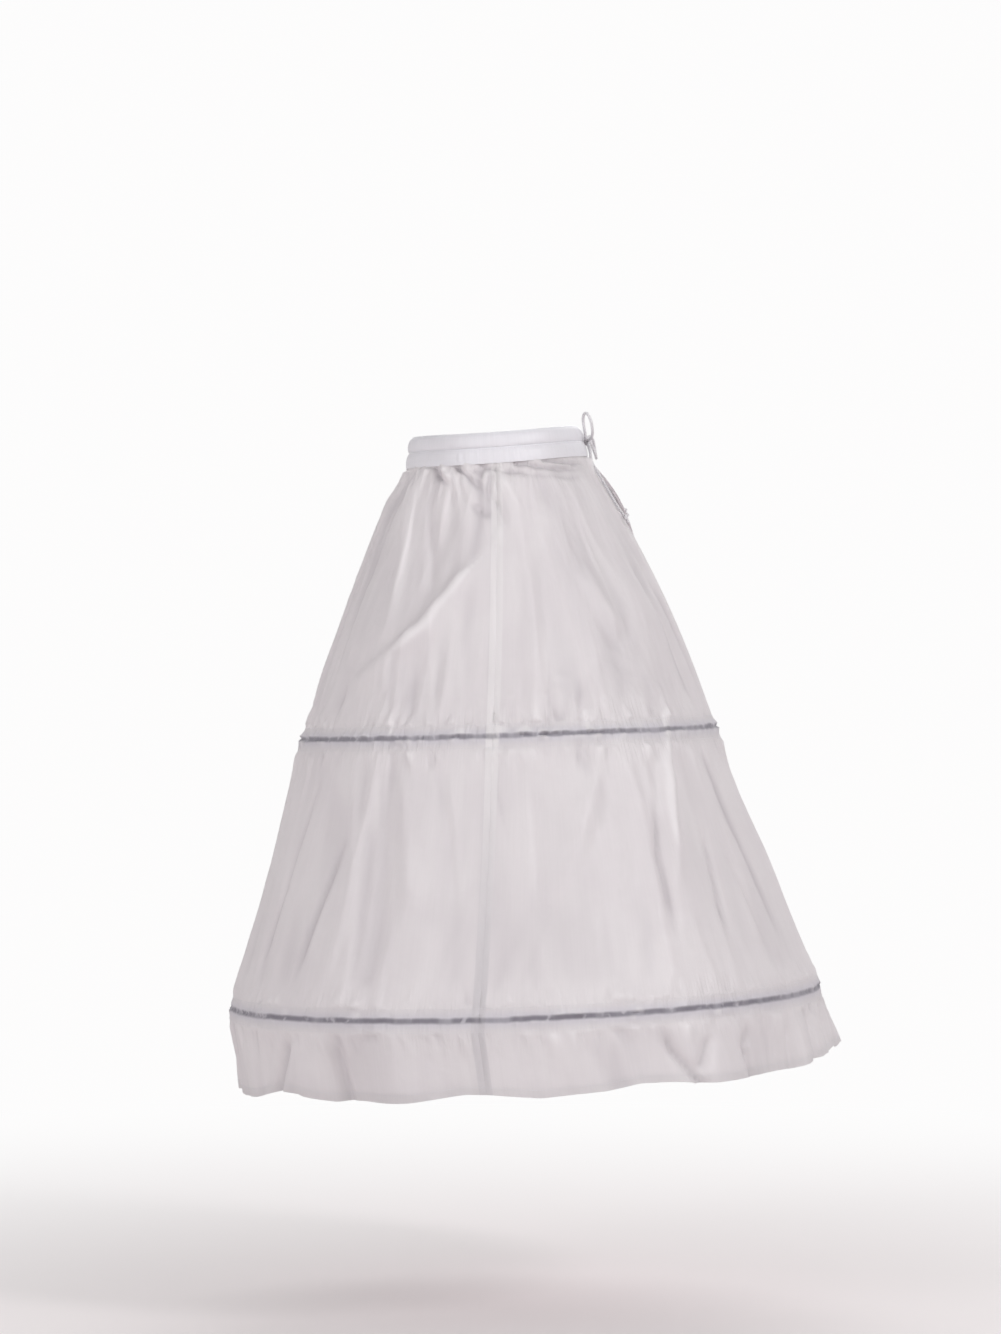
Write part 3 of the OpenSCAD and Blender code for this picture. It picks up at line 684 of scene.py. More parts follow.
@dataclass
class Drape:
    """The folds that the cloth takes over the plain form.

    Waves are a count, a start and a share. Hips are an angle, a level, both spreads and a depth share. Rows
    of puckers are a level, a way (1 down, -1 up), a count, the shortest and longest, and a height. Rows of
    facets are a count round the skirt, a length and a height. Points of the hem are an angle and a lift.
    """

    form: SkirtForm
    seed: int = 11
    drape_waves: tuple = ((7, 20, 0.45), (11, 95, 0.3), (16, 200, 0.25))
    fold_waves: tuple = ((9, 40, 0.3), (14, 150, 0.4), (19, 260, 0.3))
    flounce_waves: tuple = ((8, 70, 0.35), (13, 190, 0.4), (17, 300, 0.25))
    hips: tuple = ((-34, 0.3, 22, 0.17, -1.0), (-36, 0.62, 16, 0.1, 0.45), (-12, 0.42, 12, 0.1, 0.35),
                   (46, 0.36, 20, 0.15, -0.6), (62, 0.62, 18, 0.16, 0.3))
    bunches: tuple[float, ...] = (298, 325, 357, 10, 22, 46, 75, 104, 138, 165, 188, 214, 246, 272)
    pucker_rows: tuple = ((0.0, 1.0, 170, 0.015, 0.06, 0.0034), (1.0, -1.0, 180, 0.012, 0.04, 0.0025),
                          (2.0, 1.0, 170, 0.014, 0.05, 0.0022), (1.5, -1.0, 260, 0.007, 0.02, 0.002),
                          (1.5, 1.0, 240, 0.007, 0.02, 0.002), (3.0, -1.0, 180, 0.012, 0.04, 0.0022),
                          (4.0, 1.0, 180, 0.012, 0.045, 0.0024), (3.5, -1.0, 240, 0.006, 0.018, 0.0016),
                          (3.5, 1.0, 220, 0.006, 0.018, 0.0016), (0.0, 1.0, 90, 0.08, 0.3, 0.0013),
                          (1.0, -1.0, 90, 0.05, 0.2, 0.0013), (2.0, 1.0, 100, 0.05, 0.26, 0.0014),
                          (3.0, -1.0, 100, 0.05, 0.2, 0.0013), (4.0, 1.0, 90, 0.03, 0.085, 0.0016),
                          (0.0, 1.0, 60, 0.02, 0.12, 0.0026))
    facet_rows: tuple = ((36, 0.3, 0.0014), (76, 0.15, 0.0008))
    drawn_middle: float = 38.0
    drawn_half: float = 34.0
    seam_groove: float = 0.0009
    groove_width: float = 0.0016
    ridge_gap: float = 0.005
    ridge_width: float = 0.002
    ridge_share: float = 0.4
    hem_lift: tuple[tuple[float, float], ...] = (
        (-90, -0.0015), (-78, -0.0025), (-66, 0.003), (-57, 0.012), (-50, 0.012), (-41, 0.001),
        (-24, 0.003), (-14, 0.0075), (-9, 0.006), (0, -0.001), (12, 0.001), (18, 0.006), (24, 0.004),
        (33, -0.002), (48, -0.003), (58, -0.003), (61, -0.001), (64, 0.004), (67, 0.003), (71, 0.008),
        (75, 0.004), (79, 0.0075), (83, 0.003), (87, 0.006), (90, 0.004))
    drape_depth: float = 0.0025
    hollow_depth: float = 0.011
    fold_depth: float = 0.003
    flounce_depth: float = 0.009
    hem_scallop: float = 0.002
    placket_lift: float = 0.0075
    placket_share: float = 0.1 / 0.3095
    folds: tuple[Fold, ...] = (
        Fold(((-3, 0.33), (-17.5, 0.48), (-27.5, 0.63), (-42, 0.77), (-56, 0.87)), 0.008, 0.011, 0.024),
        Fold(((10, 0.32), (9, 0.69), (5.5, 0.97)), 0.003, 0.011),
        Fold(((32.5, 0.4), (36.5, 0.56), (41, 0.7)), 0.006, 0.012),
        Fold(((-57, 0.07), (-47.5, 0.35), (-41, 0.67)), 0.003, 0.008),
        Fold(((-40, 0.09), (-27, 0.52)), -0.003, 0.008),
        Fold(((-90, 0.0), (-90, 0.65)), 0.006, 0.06, fade=(0.2, 0.8)),
        Fold(((-90, 2.0), (-90, 3.0)), -0.006, 0.08, fade=(0.45, 0.45)),
        Fold(((90, 1.4), (90, 2.0), (90, 2.5)), -0.0045, 0.1, fade=(0.3, 0.6)),
        Fold(((-42, 2.3), (-50, 2.72), (-52, 2.92)), -0.003, 0.006),
        Fold(((-57, 2.1), (-65.5, 2.71), (-67.5, 2.92)), -0.003, 0.006),
        Fold(((-28, 2.05), (-23.5, 2.65)), 0.004, 0.018),
        Fold(((-16.5, 2.15), (-14, 2.75)), -0.004, 0.012),
        Fold(((4.5, 2.1), (4, 2.65)), -0.003, 0.005),
        Fold(((25, 2.0), (16.5, 2.28), (4, 2.72)), 0.006, 0.015),
        Fold(((44, 2.0), (40, 2.25), (35.5, 2.62)), 0.006, 0.009),
        Fold(((36.5, 2.2), (33, 2.44), (32.5, 2.78)), -0.0035, 0.006),
        Fold(((49.5, 2.3), (46, 2.82)), -0.003, 0.006),
        Fold(((54.5, 2.35), (60, 2.95)), -0.003, 0.006),
        Fold(((-49, 3.95), (-53.5, 4.43), (-58, 5.0)), -0.006, 0.008, fade=(0.4, 0.0)),
        Fold(((-39, 3.95), (-38.5, 5.0)), -0.006, 0.008, fade=(0.4, 0.0)),
        Fold(((25, 3.95), (26, 4.46), (30, 5.0)), -0.006, 0.007, fade=(0.4, 0.0)),
        Fold(((35, 4.2), (29.5, 4.9)), -0.004, 0.006),
        Fold(((45, 4.1), (42.5, 4.52), (43, 5.0)), -0.006, 0.007, fade=(0.4, 0.0)),
        Fold(((58, 4.05), (56, 5.0)), -0.007, 0.007, fade=(0.4, 0.0)),
        Fold(((67.5, 4.05), (64, 5.0)), -0.007, 0.006, fade=(0.4, 0.0)),
        Fold(((76, 4.05), (74, 5.0)), -0.006, 0.006, fade=(0.4, 0.0)),
    )
    creases: tuple[Fold, ...] = (
        Fold(((-3, 0.33), (-17.5, 0.48), (-27.5, 0.63), (-42, 0.77)), 0.0036, 0.006, 0.008),
        Fold(((-1, 0.23), (-1.5, 0.34)), 0.0036, 0.004),
        Fold(((-43, 0.0), (-37, 0.035), (-27, 0.085)), -0.0061, 0.003, fade=(0.0, 0.8)),
        Fold(((-37, 0.0), (-31, 0.035), (-22, 0.08)), 0.0041, 0.004, fade=(0.0, 0.8)),
        Fold(((-26, 0.0), (-18, 0.045), (-6, 0.12)), -0.0068, 0.0032, fade=(0.0, 0.8)),
        Fold(((-20, 0.0), (-12, 0.045), (-2, 0.11)), 0.0041, 0.004, fade=(0.0, 0.8)),
        Fold(((-18, 0.14), (-9, 0.185), (-1, 0.215)), -0.0047, 0.0034, fade=(0.5, 0.4)),
        Fold(((-9, 0.05), (0, 0.17), (2, 0.25)), -0.0034, 0.003, fade=(0.5, 0.4)),
        Fold(((-10, 0.0), (2, 0.03), (14, 0.045)), -0.0047, 0.0028, fade=(0.0, 0.6)),
        Fold(((0, 0.02), (22, 0.05), (45, 0.075), (64, 0.085)), -0.0054, 0.0034, fade=(0.2, 0.5)),
        Fold(((12, 0.0), (33, 0.03), (66, 0.055)), -0.0054, 0.0032, fade=(0.0, 0.5)),
        Fold(((30, 0.0), (50, 0.018), (74, 0.032)), -0.0047, 0.003, fade=(0.0, 0.5)),
        Fold(((10, 0.03), (32, 0.06), (52, 0.085)), 0.0034, 0.0035, fade=(0.3, 0.6)),
        Fold(((24, 0.0), (42, 0.022), (62, 0.04)), 0.003, 0.003, fade=(0.0, 0.6)),
        Fold(((-62, 0.0), (-60, 0.08), (-58, 0.22)), 0.0022, 0.003, fade=(0.0, 0.7)),
        Fold(((-52, 0.0), (-51, 0.1), (-46, 0.35), (-42, 0.6)), 0.002, 0.0035, fade=(0.0, 0.5)),
        Fold(((-66, 0.1), (-66, 0.5), (-66, 0.95)), -0.0016, 0.003),
        Fold(((-75, 0.15), (-76, 0.92)), -0.0018, 0.003),
        Fold(((-81, 0.3), (-81, 0.95)), 0.0016, 0.003),
        Fold(((64, 0.35), (67, 0.98)), -0.004, 0.005),
        Fold(((74, 0.45), (77, 0.98)), -0.004, 0.005),
        Fold(((15, 0.66), (10.5, 1.0)), -0.0028, 0.003, fade=(0.8, 0.0)),
        Fold(((22, 0.8), (19.5, 1.0)), -0.003, 0.0026, fade=(0.8, 0.0)),
        Fold(((-55, 0.8), (-58, 1.0)), -0.0024, 0.003, fade=(0.8, 0.0)),
        Fold(((-37, 0.86), (-39, 1.0)), 0.0022, 0.003, fade=(0.8, 0.0)),
        Fold(((50, 0.84), (49, 1.0)), 0.0024, 0.003, fade=(0.8, 0.0)),
        Fold(((-42, 2.3), (-50, 2.72), (-52, 2.95)), -0.003, 0.004),
        Fold(((-57, 2.05), (-65.5, 2.71), (-67.5, 2.95)), -0.003, 0.004),
        Fold(((-1.5, 2.0), (-4, 2.15), (-1.5, 2.43)), -0.002, 0.003, fade=(0.0, 0.5)),
        Fold(((18, 2.0), (15.5, 2.16)), -0.0026, 0.003, fade=(0.0, 0.7)),
        Fold(((46, 1.95), (40, 2.25), (36, 2.5)), 0.004, 0.004, fade=(0.0, 0.6)),
        Fold(((36.5, 2.2), (33, 2.44), (32.5, 2.78)), -0.0034, 0.004),
        Fold(((50, 2.3), (46, 2.82)), -0.003, 0.004),
        Fold(((60, 2.0), (61, 2.3), (66, 2.9)), -0.003, 0.004),
        Fold(((-50, 3.95), (-53.5, 4.43), (-58, 5.0)), -0.0026, 0.003, fade=(0.4, 0.0)),
        Fold(((-39, 3.95), (-38.5, 5.0)), -0.002, 0.003, fade=(0.4, 0.0)),
        Fold(((25, 3.95), (26, 4.46), (30, 5.0)), -0.0026, 0.003, fade=(0.4, 0.0)),
        Fold(((35, 4.2), (29.5, 4.9)), -0.002, 0.003),
        Fold(((45, 4.1), (42.5, 4.52), (43, 5.0)), -0.0024, 0.003, fade=(0.4, 0.0)),
        Fold(((52, 4.0), (50, 5.0)), 0.0026, 0.003, fade=(0.4, 0.0)),
        Fold(((61, 4.0), (59.5, 5.0)), 0.003, 0.003, fade=(0.4, 0.0)),
        Fold(((70.5, 4.0), (69, 5.0)), 0.003, 0.0026, fade=(0.4, 0.0)),
        Fold(((79, 4.0), (78.5, 5.0)), 0.003, 0.0026, fade=(0.4, 0.0)),
        Fold(((83, 4.0), (83, 5.0)), -0.003, 0.0026, fade=(0.4, 0.0)),
    )
    # Lines along the crests that get a painted highlight; a line's height is its strength.
    glints: tuple[Fold, ...] = (
        Fold(((-2.5, 0.31), (-17, 0.48), (-27, 0.63), (-41, 0.77), (-52, 0.84)), 1.0, 0.003,
             fade=(0.15, 0.4)),
        Fold(((-0.5, 0.21), (-1, 0.36)), 0.9, 0.004),
        Fold(((33.5, 0.41), (37.5, 0.56), (41.5, 0.69)), 0.5, 0.006),
        Fold(((-52, 0.02), (-46, 0.35), (-42, 0.58)), 0.5, 0.004),
        Fold(((44.5, 1.98), (39.5, 2.25), (35.5, 2.6)), 0.8, 0.005, fade=(0.1, 0.6)),
        Fold(((24.5, 2.0), (16, 2.28), (5, 2.7)), 0.4, 0.012),
        Fold(((-27, 2.06), (-23, 2.6)), 0.35, 0.012),
        Fold(((64.5, 0.4), (68.5, 0.98)), 0.6, 0.003),
        Fold(((72, 0.4), (75, 0.98)), 0.6, 0.003),
        Fold(((-33, 0.97), (-34, 1.42)), 0.7, 0.004),
        Fold(((-13, 1.02), (-13, 1.4)), 0.6, 0.005),
        Fold(((-2, 1.0), (-2.5, 1.42)), 1.0, 0.005),
        Fold(((4.5, 1.0), (4, 1.42)), 0.9, 0.004),
        Fold(((-3, 1.58), (-6, 1.98)), 0.9, 0.004),
        Fold(((21.5, 0.94), (20.5, 1.42)), 0.9, 0.005),
        Fold(((38, 1.0), (37, 1.4)), 0.6, 0.005),
        Fold(((48, 0.96), (46.5, 1.98)), 0.9, 0.004),
        Fold(((-52, 3.02), (-52, 3.42)), 0.6, 0.006),
        Fold(((-33, 3.05), (-33, 3.45)), 0.7, 0.005),
        Fold(((8, 3.05), (8, 3.45)), 0.5, 0.006),
        Fold(((38, 3.55), (37.5, 3.95)), 0.7, 0.005),
    )
    # Crease height at which the painted highlight or shade is at its full.
    crease_light_height: float = 0.0042
    warp: float = 8.0
    calm_drop: float = 0.45
    calm_angle: float = 26.0
    crease_calm: tuple[float, float] = (7.0, 9.0)
    placket_spread: float = 14.0
    crest_round: float = 0.3
    facet_fade: float = 0.12
    facet_sway: float = 0.5
    facet_round: float = 0.003
    bunch_spread: float = 7.0
    bunch_share: float = 0.55
    pucker_width: tuple[float, float] = (0.0026, 0.0054)
    pucker_growth: float = 0.2
    pucker_rise: float = 0.16
    pucker_slant: tuple[float, float] = (-0.2, 0.5)
    drawn_share: float = 0.25

    def side_angle(self, angle: Array) -> Array:
        """Bring angles to the left half; the right half is warped, so that the two sides aren't alike."""
        half, right = left_half(angle)
        return half + np.where(right, self.warp * np.sin(np.radians(2.0 * half)), 0.0)

    def spots(self, level: Array, leant: Array) -> tuple[Array, Array]:
        """Places on the cloth: length round the skirt from its side, and length down it."""
        across = np.radians(self.side_angle(leant)) * self.form.rings(level)[..., WIDTH]
        return across, self.form.length(level)

    def fold_out(self, fold: Fold, across: Array, down: Array, crisp: bool) -> Array:
        """Height of one fold over places measured across and down the cloth.

        Args:
            fold: the fold.
            across: length round the skirt from the side.
            down: length down the cloth.
            crisp: whether its crest is pressed in sharply.

        Returns:
            How far the fold lifts each place.
        """
        angle, level = np.array(fold.path).T
        reach = self.form.rings(level)[:, WIDTH]
        route = np.stack([np.radians(angle) * reach, self.form.length(level)], axis=-1)
        legs = np.diff(route, axis=0)
        spans = np.linalg.norm(legs, axis=1)
        total = spans.sum()
        best = np.zeros_like(across)
        walked = 0.0
        for start, leg, span in zip(route[:-1], legs, spans):
            far = np.stack([across - start[0], down - start[1]], axis=-1)
            along = np.clip(far @ leg / span ** 2, 0.0, 1.0)
            off = far - along[..., None] * leg
            side = off[..., 1] * leg[0] - off[..., 0] * leg[1]
            width = np.where(side > 0.0, fold.width, fold.lower_width or fold.width)
            apart = np.sum(off * off, axis=-1) / width ** 2
            sharp = np.exp(self.crest_round - np.sqrt(apart + self.crest_round ** 2))
            crest = sharp if crisp else np.exp(-apart)
            share = (walked + along * span) / total
            for way, fade in zip((share, 1.0 - share), fold.fade):
                crest = crest * smooth(way / fade) if fade else crest
            best = np.maximum(best, crest)
            walked += span
        return fold.height * best

    def out(self, level: Array, angle: Array, leant: Array) -> Array:
        """How far the cloth stands off the plain form, folds included.

        Args:
            level: levels of the grid.
            angle: the columns' angles before they lean.
            leant: the same after leaning.

        Returns:
            Distances along the outward normals.
        """
        upper = tier_share(level, Tier.UPPER)
        middle = tier_share(level, Tier.MIDDLE)
        flounce = tier_share(level, Tier.FLOUNCE)
        side = self.side_angle(leant)
        hip = sum(depth * hump(side - at, wide) * hump(upper - high, tall)
                  for at, high, wide, tall, depth in self.hips)
        far = smooth(from_back(angle) / self.calm_angle)
        calm = 1.0 - (1.0 - smooth(upper / self.calm_drop)) * (1.0 - far)
        soft = self.drape_depth * waves(self.drape_waves, angle) + self.hollow_depth * hip
        total = self.form.upper_bulge * 4.0 * upper * (1.0 - upper)
        total = total + calm * np.sin(np.pi * upper) * soft
        total = total + self.fold_depth * np.sin(np.pi * middle) * waves(self.fold_waves, angle)
        total = total + self.flounce_depth * smooth(flounce) * waves(self.flounce_waves, angle)
        across, down = self.spots(level, leant)
        for fold in self.folds:
            total = total + calm * self.fold_out(fold, across, down, False)
        lift = np.sin(np.pi * np.clip(level / self.placket_share, 0.0, 1.0))
        return total + self.placket_lift * (lift * hump(angle - BACK, self.placket_spread))

    def detail(self, level: Array, angle: Array, leant: Array) -> Array:
        """Crisp creases, seam lines and puckers, as further distances along the outward normals."""
        across, down = self.spots(level, leant)
        start, fade = self.crease_calm
        calm = np.where(level < Tier.UPPER_CASING.value, smooth((from_back(angle) - start) / fade), 1.0)
        total = sum(self.fold_out(crease, across, down, True) for crease in self.creases)
        seam = np.abs(self.seam_distance(level, angle))
        groove = self.seam_groove * hump(seam, self.groove_width)
        ridge = self.ridge_share * self.seam_groove * hump(seam - self.ridge_gap, self.ridge_width)
        total = total * calm - groove + ridge
        return total + calm * (self.puckers(level, leant) + self.facets(level, leant))

    def glint(self, level: Array, leant: Array) -> Array:
        """How much painted highlight the listed lines along the crests get, from 0 to 1."""
        across, down = self.spots(level, leant)
        return sum(self.fold_out(crest, across, down, True) for crest in self.glints)

    def facets(self, level: Array, leant: Array) -> Array:
        """Flat planes of stiff cloth with crisp crests between them, closing round the skirt."""
        rng = np.random.default_rng(self.seed)
        down = self.form.length(level)
        sewn = np.min([np.abs(level - tier.value) for tier in Tier], axis=0)
        free = smooth(np.clip(sewn / self.facet_fade, 0.0, 1.0))
        free = np.where((level % 2.0 > 1.0) & (level < Tier.FLOUNCE.value), 0.0, free)
        total = np.zeros_like(level)
        for count, tall, height in self.facet_rows:
            lattice = rng.uniform(-1.0, 1.0, (int(down.max() / tall) + 2, count))
            sway = self.facet_sway * np.sin(down / tall * 1.7 + np.radians(3.0 * leant))
            turn = np.mod(leant, FULL_TURN) / FULL_TURN * count + sway
            column, row = np.floor(turn).astype(int), np.floor(down / tall).astype(int)
            right, below = smooth(turn - column), smooth(down / tall - row)
            here, after = column % count, (column + 1) % count
            upper = lattice[row, here] * (1.0 - right) + lattice[row, after] * right
            lower = lattice[row + 1, here] * (1.0 - right) + lattice[row + 1, after] * right
            noise = upper * (1.0 - below) + lower * below
            total += height * (0.5 - 2.0 * np.sqrt(np.square(noise) + self.facet_round))
        return total * free

    def seam_distance(self, level: Array, angle: Array) -> Array:
        """Length round the skirt from the nearer side seam, below 0 on its front side."""
        half, _ = left_half(angle)
        return np.radians(half) * self.form.rings(level)[..., WIDTH]

    def puckers(self, level: Array, leant: Array) -> Array:
        """Small gathers that run out of the waistband and of both casings, thicker in some places."""
        rng = np.random.default_rng(self.seed)
        down = self.form.length(level)
        reach = self.form.rings(level)[..., WIDTH]
        total = np.zeros_like(level)
        bunches = np.array(self.bunches)
        for edge, way, count, short, tall, height in self.pucker_rows:
            start = self.form.length(edge)
            gone = way * (down[:, 0] - start)
            band = np.flatnonzero((gone >= 0.0) & (gone <= tall))
            rows = slice(band[0], band[-1] + 1)
            run = (down[rows] - start) * way
            for _ in range(count):
                bunched = rng.normal(rng.choice(bunches), self.bunch_spread)
                at = bunched if rng.random() < self.bunch_share else rng.uniform(0.0, FULL_TURN)
                length = rng.uniform(short, tall)
                wide = rng.uniform(*self.pucker_width) * (1.0 + length / self.pucker_growth)
                lift = height * rng.uniform(0.35, 1.0) * rng.choice((-1.0, 1.0, 1.0))
                if edge % 1.0:
                    lift = abs(lift)
                aside = abs(self.side_angle(np.array(at)) - self.drawn_middle)
                if edge == 0.0 and aside < self.drawn_half:
                    lift *= self.drawn_share
                slant = rng.uniform(*self.pucker_slant) * math.cos(math.radians(at))
                along = run / length
                off = np.radians(wrap(leant[rows] - at)) * reach[rows] - slant * run
                rise = smooth(along / self.pucker_rise) * smooth(1.0 - along)
                total[rows] += lift * rise * hump(off, wide)
        return total


@dataclass
class Skirt:
    """The three cloth panels, cut from one draped grid."""

    form: SkirtForm
    drape: Drape
    cloth: float = 0.00035
    columns: int = 560
    rows: tuple[int, ...] = (80, 10, 46, 10, 26)
    tuck: float = 0.003
    inset: float = 0.0005
    inset_reach: float = 0.03
    seam_gap: float = 0.0004
    placket_gap: float = 0.014
    part_angle: float = 14.0
    front_cut: float = 1.16
    back_cut: float = 0.62
    cut_length: float = 0.82
    frames: int = 20
    gravity: float = 0.06
    hold: float = 0.06
    ease: float = 0.008
    band_ease: float = 0.16
    band_reach: float = 0.08
    middle_ease: float = 0.015
    flounce_ease: float = 0.05
    length_ease: float = 1.01
    cloth_settings: tuple[tuple[str, float], ...] = (
        ("pin_stiffness", 1.0), ("quality", 5), ("mass", 0.05), ("tension_stiffness", 40.0),
        ("compression_stiffness", 40.0), ("shear_stiffness", 8.0), ("bending_stiffness", 0.5),
        ("air_damping", 3.0))
    grid: Array = field(default=None, repr=False)
    level: Array = field(default=None, repr=False)
    seam: Array = field(default=None, repr=False)
    # Share of painted highlight and painted shade at each point.
    crease_light: Array = field(default=None, repr=False)

    def levels(self) -> Array:
        """Levels of the rows, closer together beside the band and the casings."""
        parts = []
        for tier, count in zip(Tier, self.rows):
            share = np.arange(count) / count
            if tier in (Tier.UPPER, Tier.MIDDLE):
                share = share - 0.5 * np.sin(math.tau * share) / math.tau
            parts.append(tier.value + share)
        return np.concatenate(parts + [[HEM]])

    def column_angles(self) -> Array:
        """Angles of the columns, from the centre back round the front to the centre back again."""
        return np.linspace(BACK, BACK + FULL_TURN, self.columns + 1)

    def row(self, level: float) -> int:
        """Number of the row that lies at a level."""
        return int(np.flatnonzero(self.level == level)[0])

    def lining(self, clear: float) -> Array:
        """Grid of the cloth's inner face, set in further by a clearance."""
        return self.grid - grid_normals(self.grid) * (self.cloth + clear)

    def places(self) -> tuple[Array, Array]:
        """Level and angle of every point, from the centre back round the front, parted at the placket."""
        level, angle = np.meshgrid(self.level, self.column_angles(), indexing="ij")
        open_share = np.clip(1.0 - level / self.drape.placket_share, 0.0, 1.0)
        gap = self.seam_gap / 2.0 + (self.placket_gap - self.seam_gap) / 2.0 * open_share
        parted = np.degrees(gap / self.form.rings(level)[..., DEPTH])
        for way, edge in ((1.0, BACK), (-1.0, BACK + FULL_TURN)):
            away = way * (angle - edge)
            moved = edge + way * (parted + away * (1.0 - parted / self.part_angle))
            angle = np.where(away < self.part_angle, moved, angle)
        return level, angle

    def shape(self) -> None:
        """Work out the draped grid."""
        self.level = self.levels()
        level, angle = self.places()
        leant = self.form.lean(angle, level)
        plain = ring_points(self.form.rings(level), leant, 0.0)
        tucked = self.inset * (1.0 - smooth(level / self.inset_reach))
        out = self.drape.out(level, angle, leant) - tucked
        grid = plain + grid_normals(plain) * out[..., None]
        flounce = tier_share(level, Tier.FLOUNCE)
        grid[..., 2] -= self.drape.hem_scallop * flounce * waves(self.drape.flounce_waves, angle)
        at, lift = np.array(self.drape.hem_lift).T
        grid[..., 2] += np.interp(self.drape.side_angle(leant), at, lift) * flounce
        self.grid = grid

    def crease(self) -> None:
        """Press the crisp details into the hung cloth."""
        level, angle = self.places()
        leant = self.form.lean(angle, level)
        out = self.drape.detail(level, angle, leant)
        self.grid = self.grid + grid_normals(self.grid) * out[..., None]
        # The share of painted highlight on crests and painted shade in valleys, from the crease heights and
        # the highlight lines.
        self.crease_light = out / self.drape.crease_light_height + self.drape.glint(level, leant)
        self.seam = self.drape.seam_distance(level, angle)

    def slack(self, coarse: Array, level: Array) -> Array:
        """The cloth before it hangs, a little wider and longer than the form needs.

        Args:
            coarse: grid of the cloth.
            level: levels of its rows.

        Returns:
            The eased grid.
        """
        upper = tier_share(level, Tier.UPPER)
        middle = tier_share(level, Tier.MIDDLE)
        wide = 1.0 + self.ease + self.band_ease * np.exp(-upper / self.band_reach) * (level < 1.0)
        wide += self.flounce_ease * tier_share(level, Tier.FLOUNCE)
        between = (level > Tier.MIDDLE.value) & (level < Tier.LOWER_CASING.value)
        wide += np.where(between, self.middle_ease * np.abs(np.cos(np.pi * middle)), 0.0)
        centre = self.form.rings(level)[:, SETBACK, None]
        rest = coarse.copy()
        rest[..., 0] *= wide[:, None]
        rest[..., 1] = centre + (rest[..., 1] - centre) * wide[:, None]
        rest[..., 2] *= self.length_ease
        return rest

    def relax(self) -> None:
        """Let the cloth hang between the band and the casings, by cloth simulation on every other point."""
        coarse = self.grid[::2, ::2]
        rows, columns = coarse.shape[:2]
        level = self.level[::2]
        number = np.arange(rows * columns).reshape(rows, columns)
        plain = bpy.data.materials.new("hanging_cloth")
        sheet = new_piece("hanging_cloth", coarse, quads(number).tolist(), plain)
        sheet.shape_key_add(name="hung")
        spare = sheet.shape_key_add(name="spare")
        spare.data.foreach_set("co", self.slack(coarse, level).reshape(-1, 3).astype(np.float32).ravel())
        # The band's row, both casings and the centre back stay where they are
        held = sheet.vertex_groups.new(name="held")
        fixed = np.zeros((rows, columns), dtype=bool)
        fixed[(level >= 1.0) & (level <= 2.0) | (level >= 3.0) & (level <= 4.0) | (level == 0.0)] = True
        fixed[:, [0, -1]] = True
        held.add(number[fixed].tolist(), 1.0, "REPLACE")
        held.add(number[~fixed].tolist(), self.hold, "REPLACE")
        cloth = sheet.modifiers.new("cloth", "CLOTH")
        cloth.settings.vertex_group_mass = "held"
        cloth.settings.rest_shape_key = spare
        for setting, value in self.cloth_settings:
            setattr(cloth.settings, setting, value)
        cloth.settings.effector_weights.gravity = self.gravity
        cloth.point_cache.frame_end = self.frames + 1
        scene = bpy.context.scene
        for step in range(1, self.frames + 1):
            scene.frame_set(step)
        hung = sheet.evaluated_get(bpy.context.evaluated_depsgraph_get()).to_mesh()
        points = np.empty(rows * columns * 3, dtype=np.float32)
        hung.vertices.foreach_get("co", points)
        scene.frame_set(1)
        bpy.data.objects.remove(sheet)
        moved = points.reshape(rows, columns, 3).astype(float) - coarse
        LOG.info("cloth moved %.1f mm at most", 1000.0 * np.linalg.norm(moved, axis=2).max())
        self.grid = self.grid + refine(refine(moved).transpose(1, 0, 2)).transpose(1, 0, 2)

    def build(self, finish: bpy.types.Material) -> None:
        self.shape()
        self.relax()
        self.crease()
        _, angle = self.places()
        top = self.form.waist_ring(self.tuck - self.form.band_height / 2.0, self.inset).values()
        tucked = ring_points(np.broadcast_to(top, angle[0].shape + top.shape), angle[0], 0.0)
        whole = np.concatenate([tucked[None], self.grid])
        inward = -grid_normals(whole) * self.cloth
        around = np.radians(self.column_angles()) * self.form.lower.half_width
        down = np.concatenate([[-self.tuck], self.form.length(self.level)])
        quarter = self.columns // 4
        for name, first, last, width in (("right_back_panel", 0, quarter, self.back_cut),
                                         ("front_panel", quarter, 3 * quarter, self.front_cut),
                                         ("left_back_panel", 3 * quarter, self.columns, self.back_cut)):
            part = slice(first, last + 1)
            uv = grid_uv(around[part], down)
            piece = new_sheet(f"{name}_cloth", whole[:, part], inward[:, part], uv, finish)
            # Each panel keeps its seam distance and its share of painted highlight and shade.
            for mark, values in (("seam", self.seam), ("crease_light", self.crease_light)):
                shown = np.concatenate([values[:1], values])[:, part].ravel()
                layer = piece.data.attributes.new(mark, "FLOAT", "POINT")
                layer.data.foreach_set("value", np.tile(shown, 2).astype(np.float32))
            settle(piece, Slot.TAFFETA, name)


def spline(route: Array, steps: int) -> Array:
    """Smooth curve through a route.

    Args:
        route: the points to pass through.
        steps: pieces between each two of them.

    Returns:
        The points of the curve.
    """
    ends = np.concatenate([2.0 * route[:1] - route[1:2], route, 2.0 * route[-1:] - route[-2:-1]])
    share = (np.arange(steps) / steps)[:, None]
    parts = []
    for a, b, c, d in zip(ends[:-3], ends[1:-2], ends[2:-1], ends[3:]):
        parts.append(0.5 * (2.0 * b + (c - a) * share + (2.0 * a - 5.0 * b + 4.0 * c - d) * share ** 2
                            + (3.0 * b - a - 3.0 * c + d) * share ** 3))
    return np.concatenate(parts + [route[-1:]])


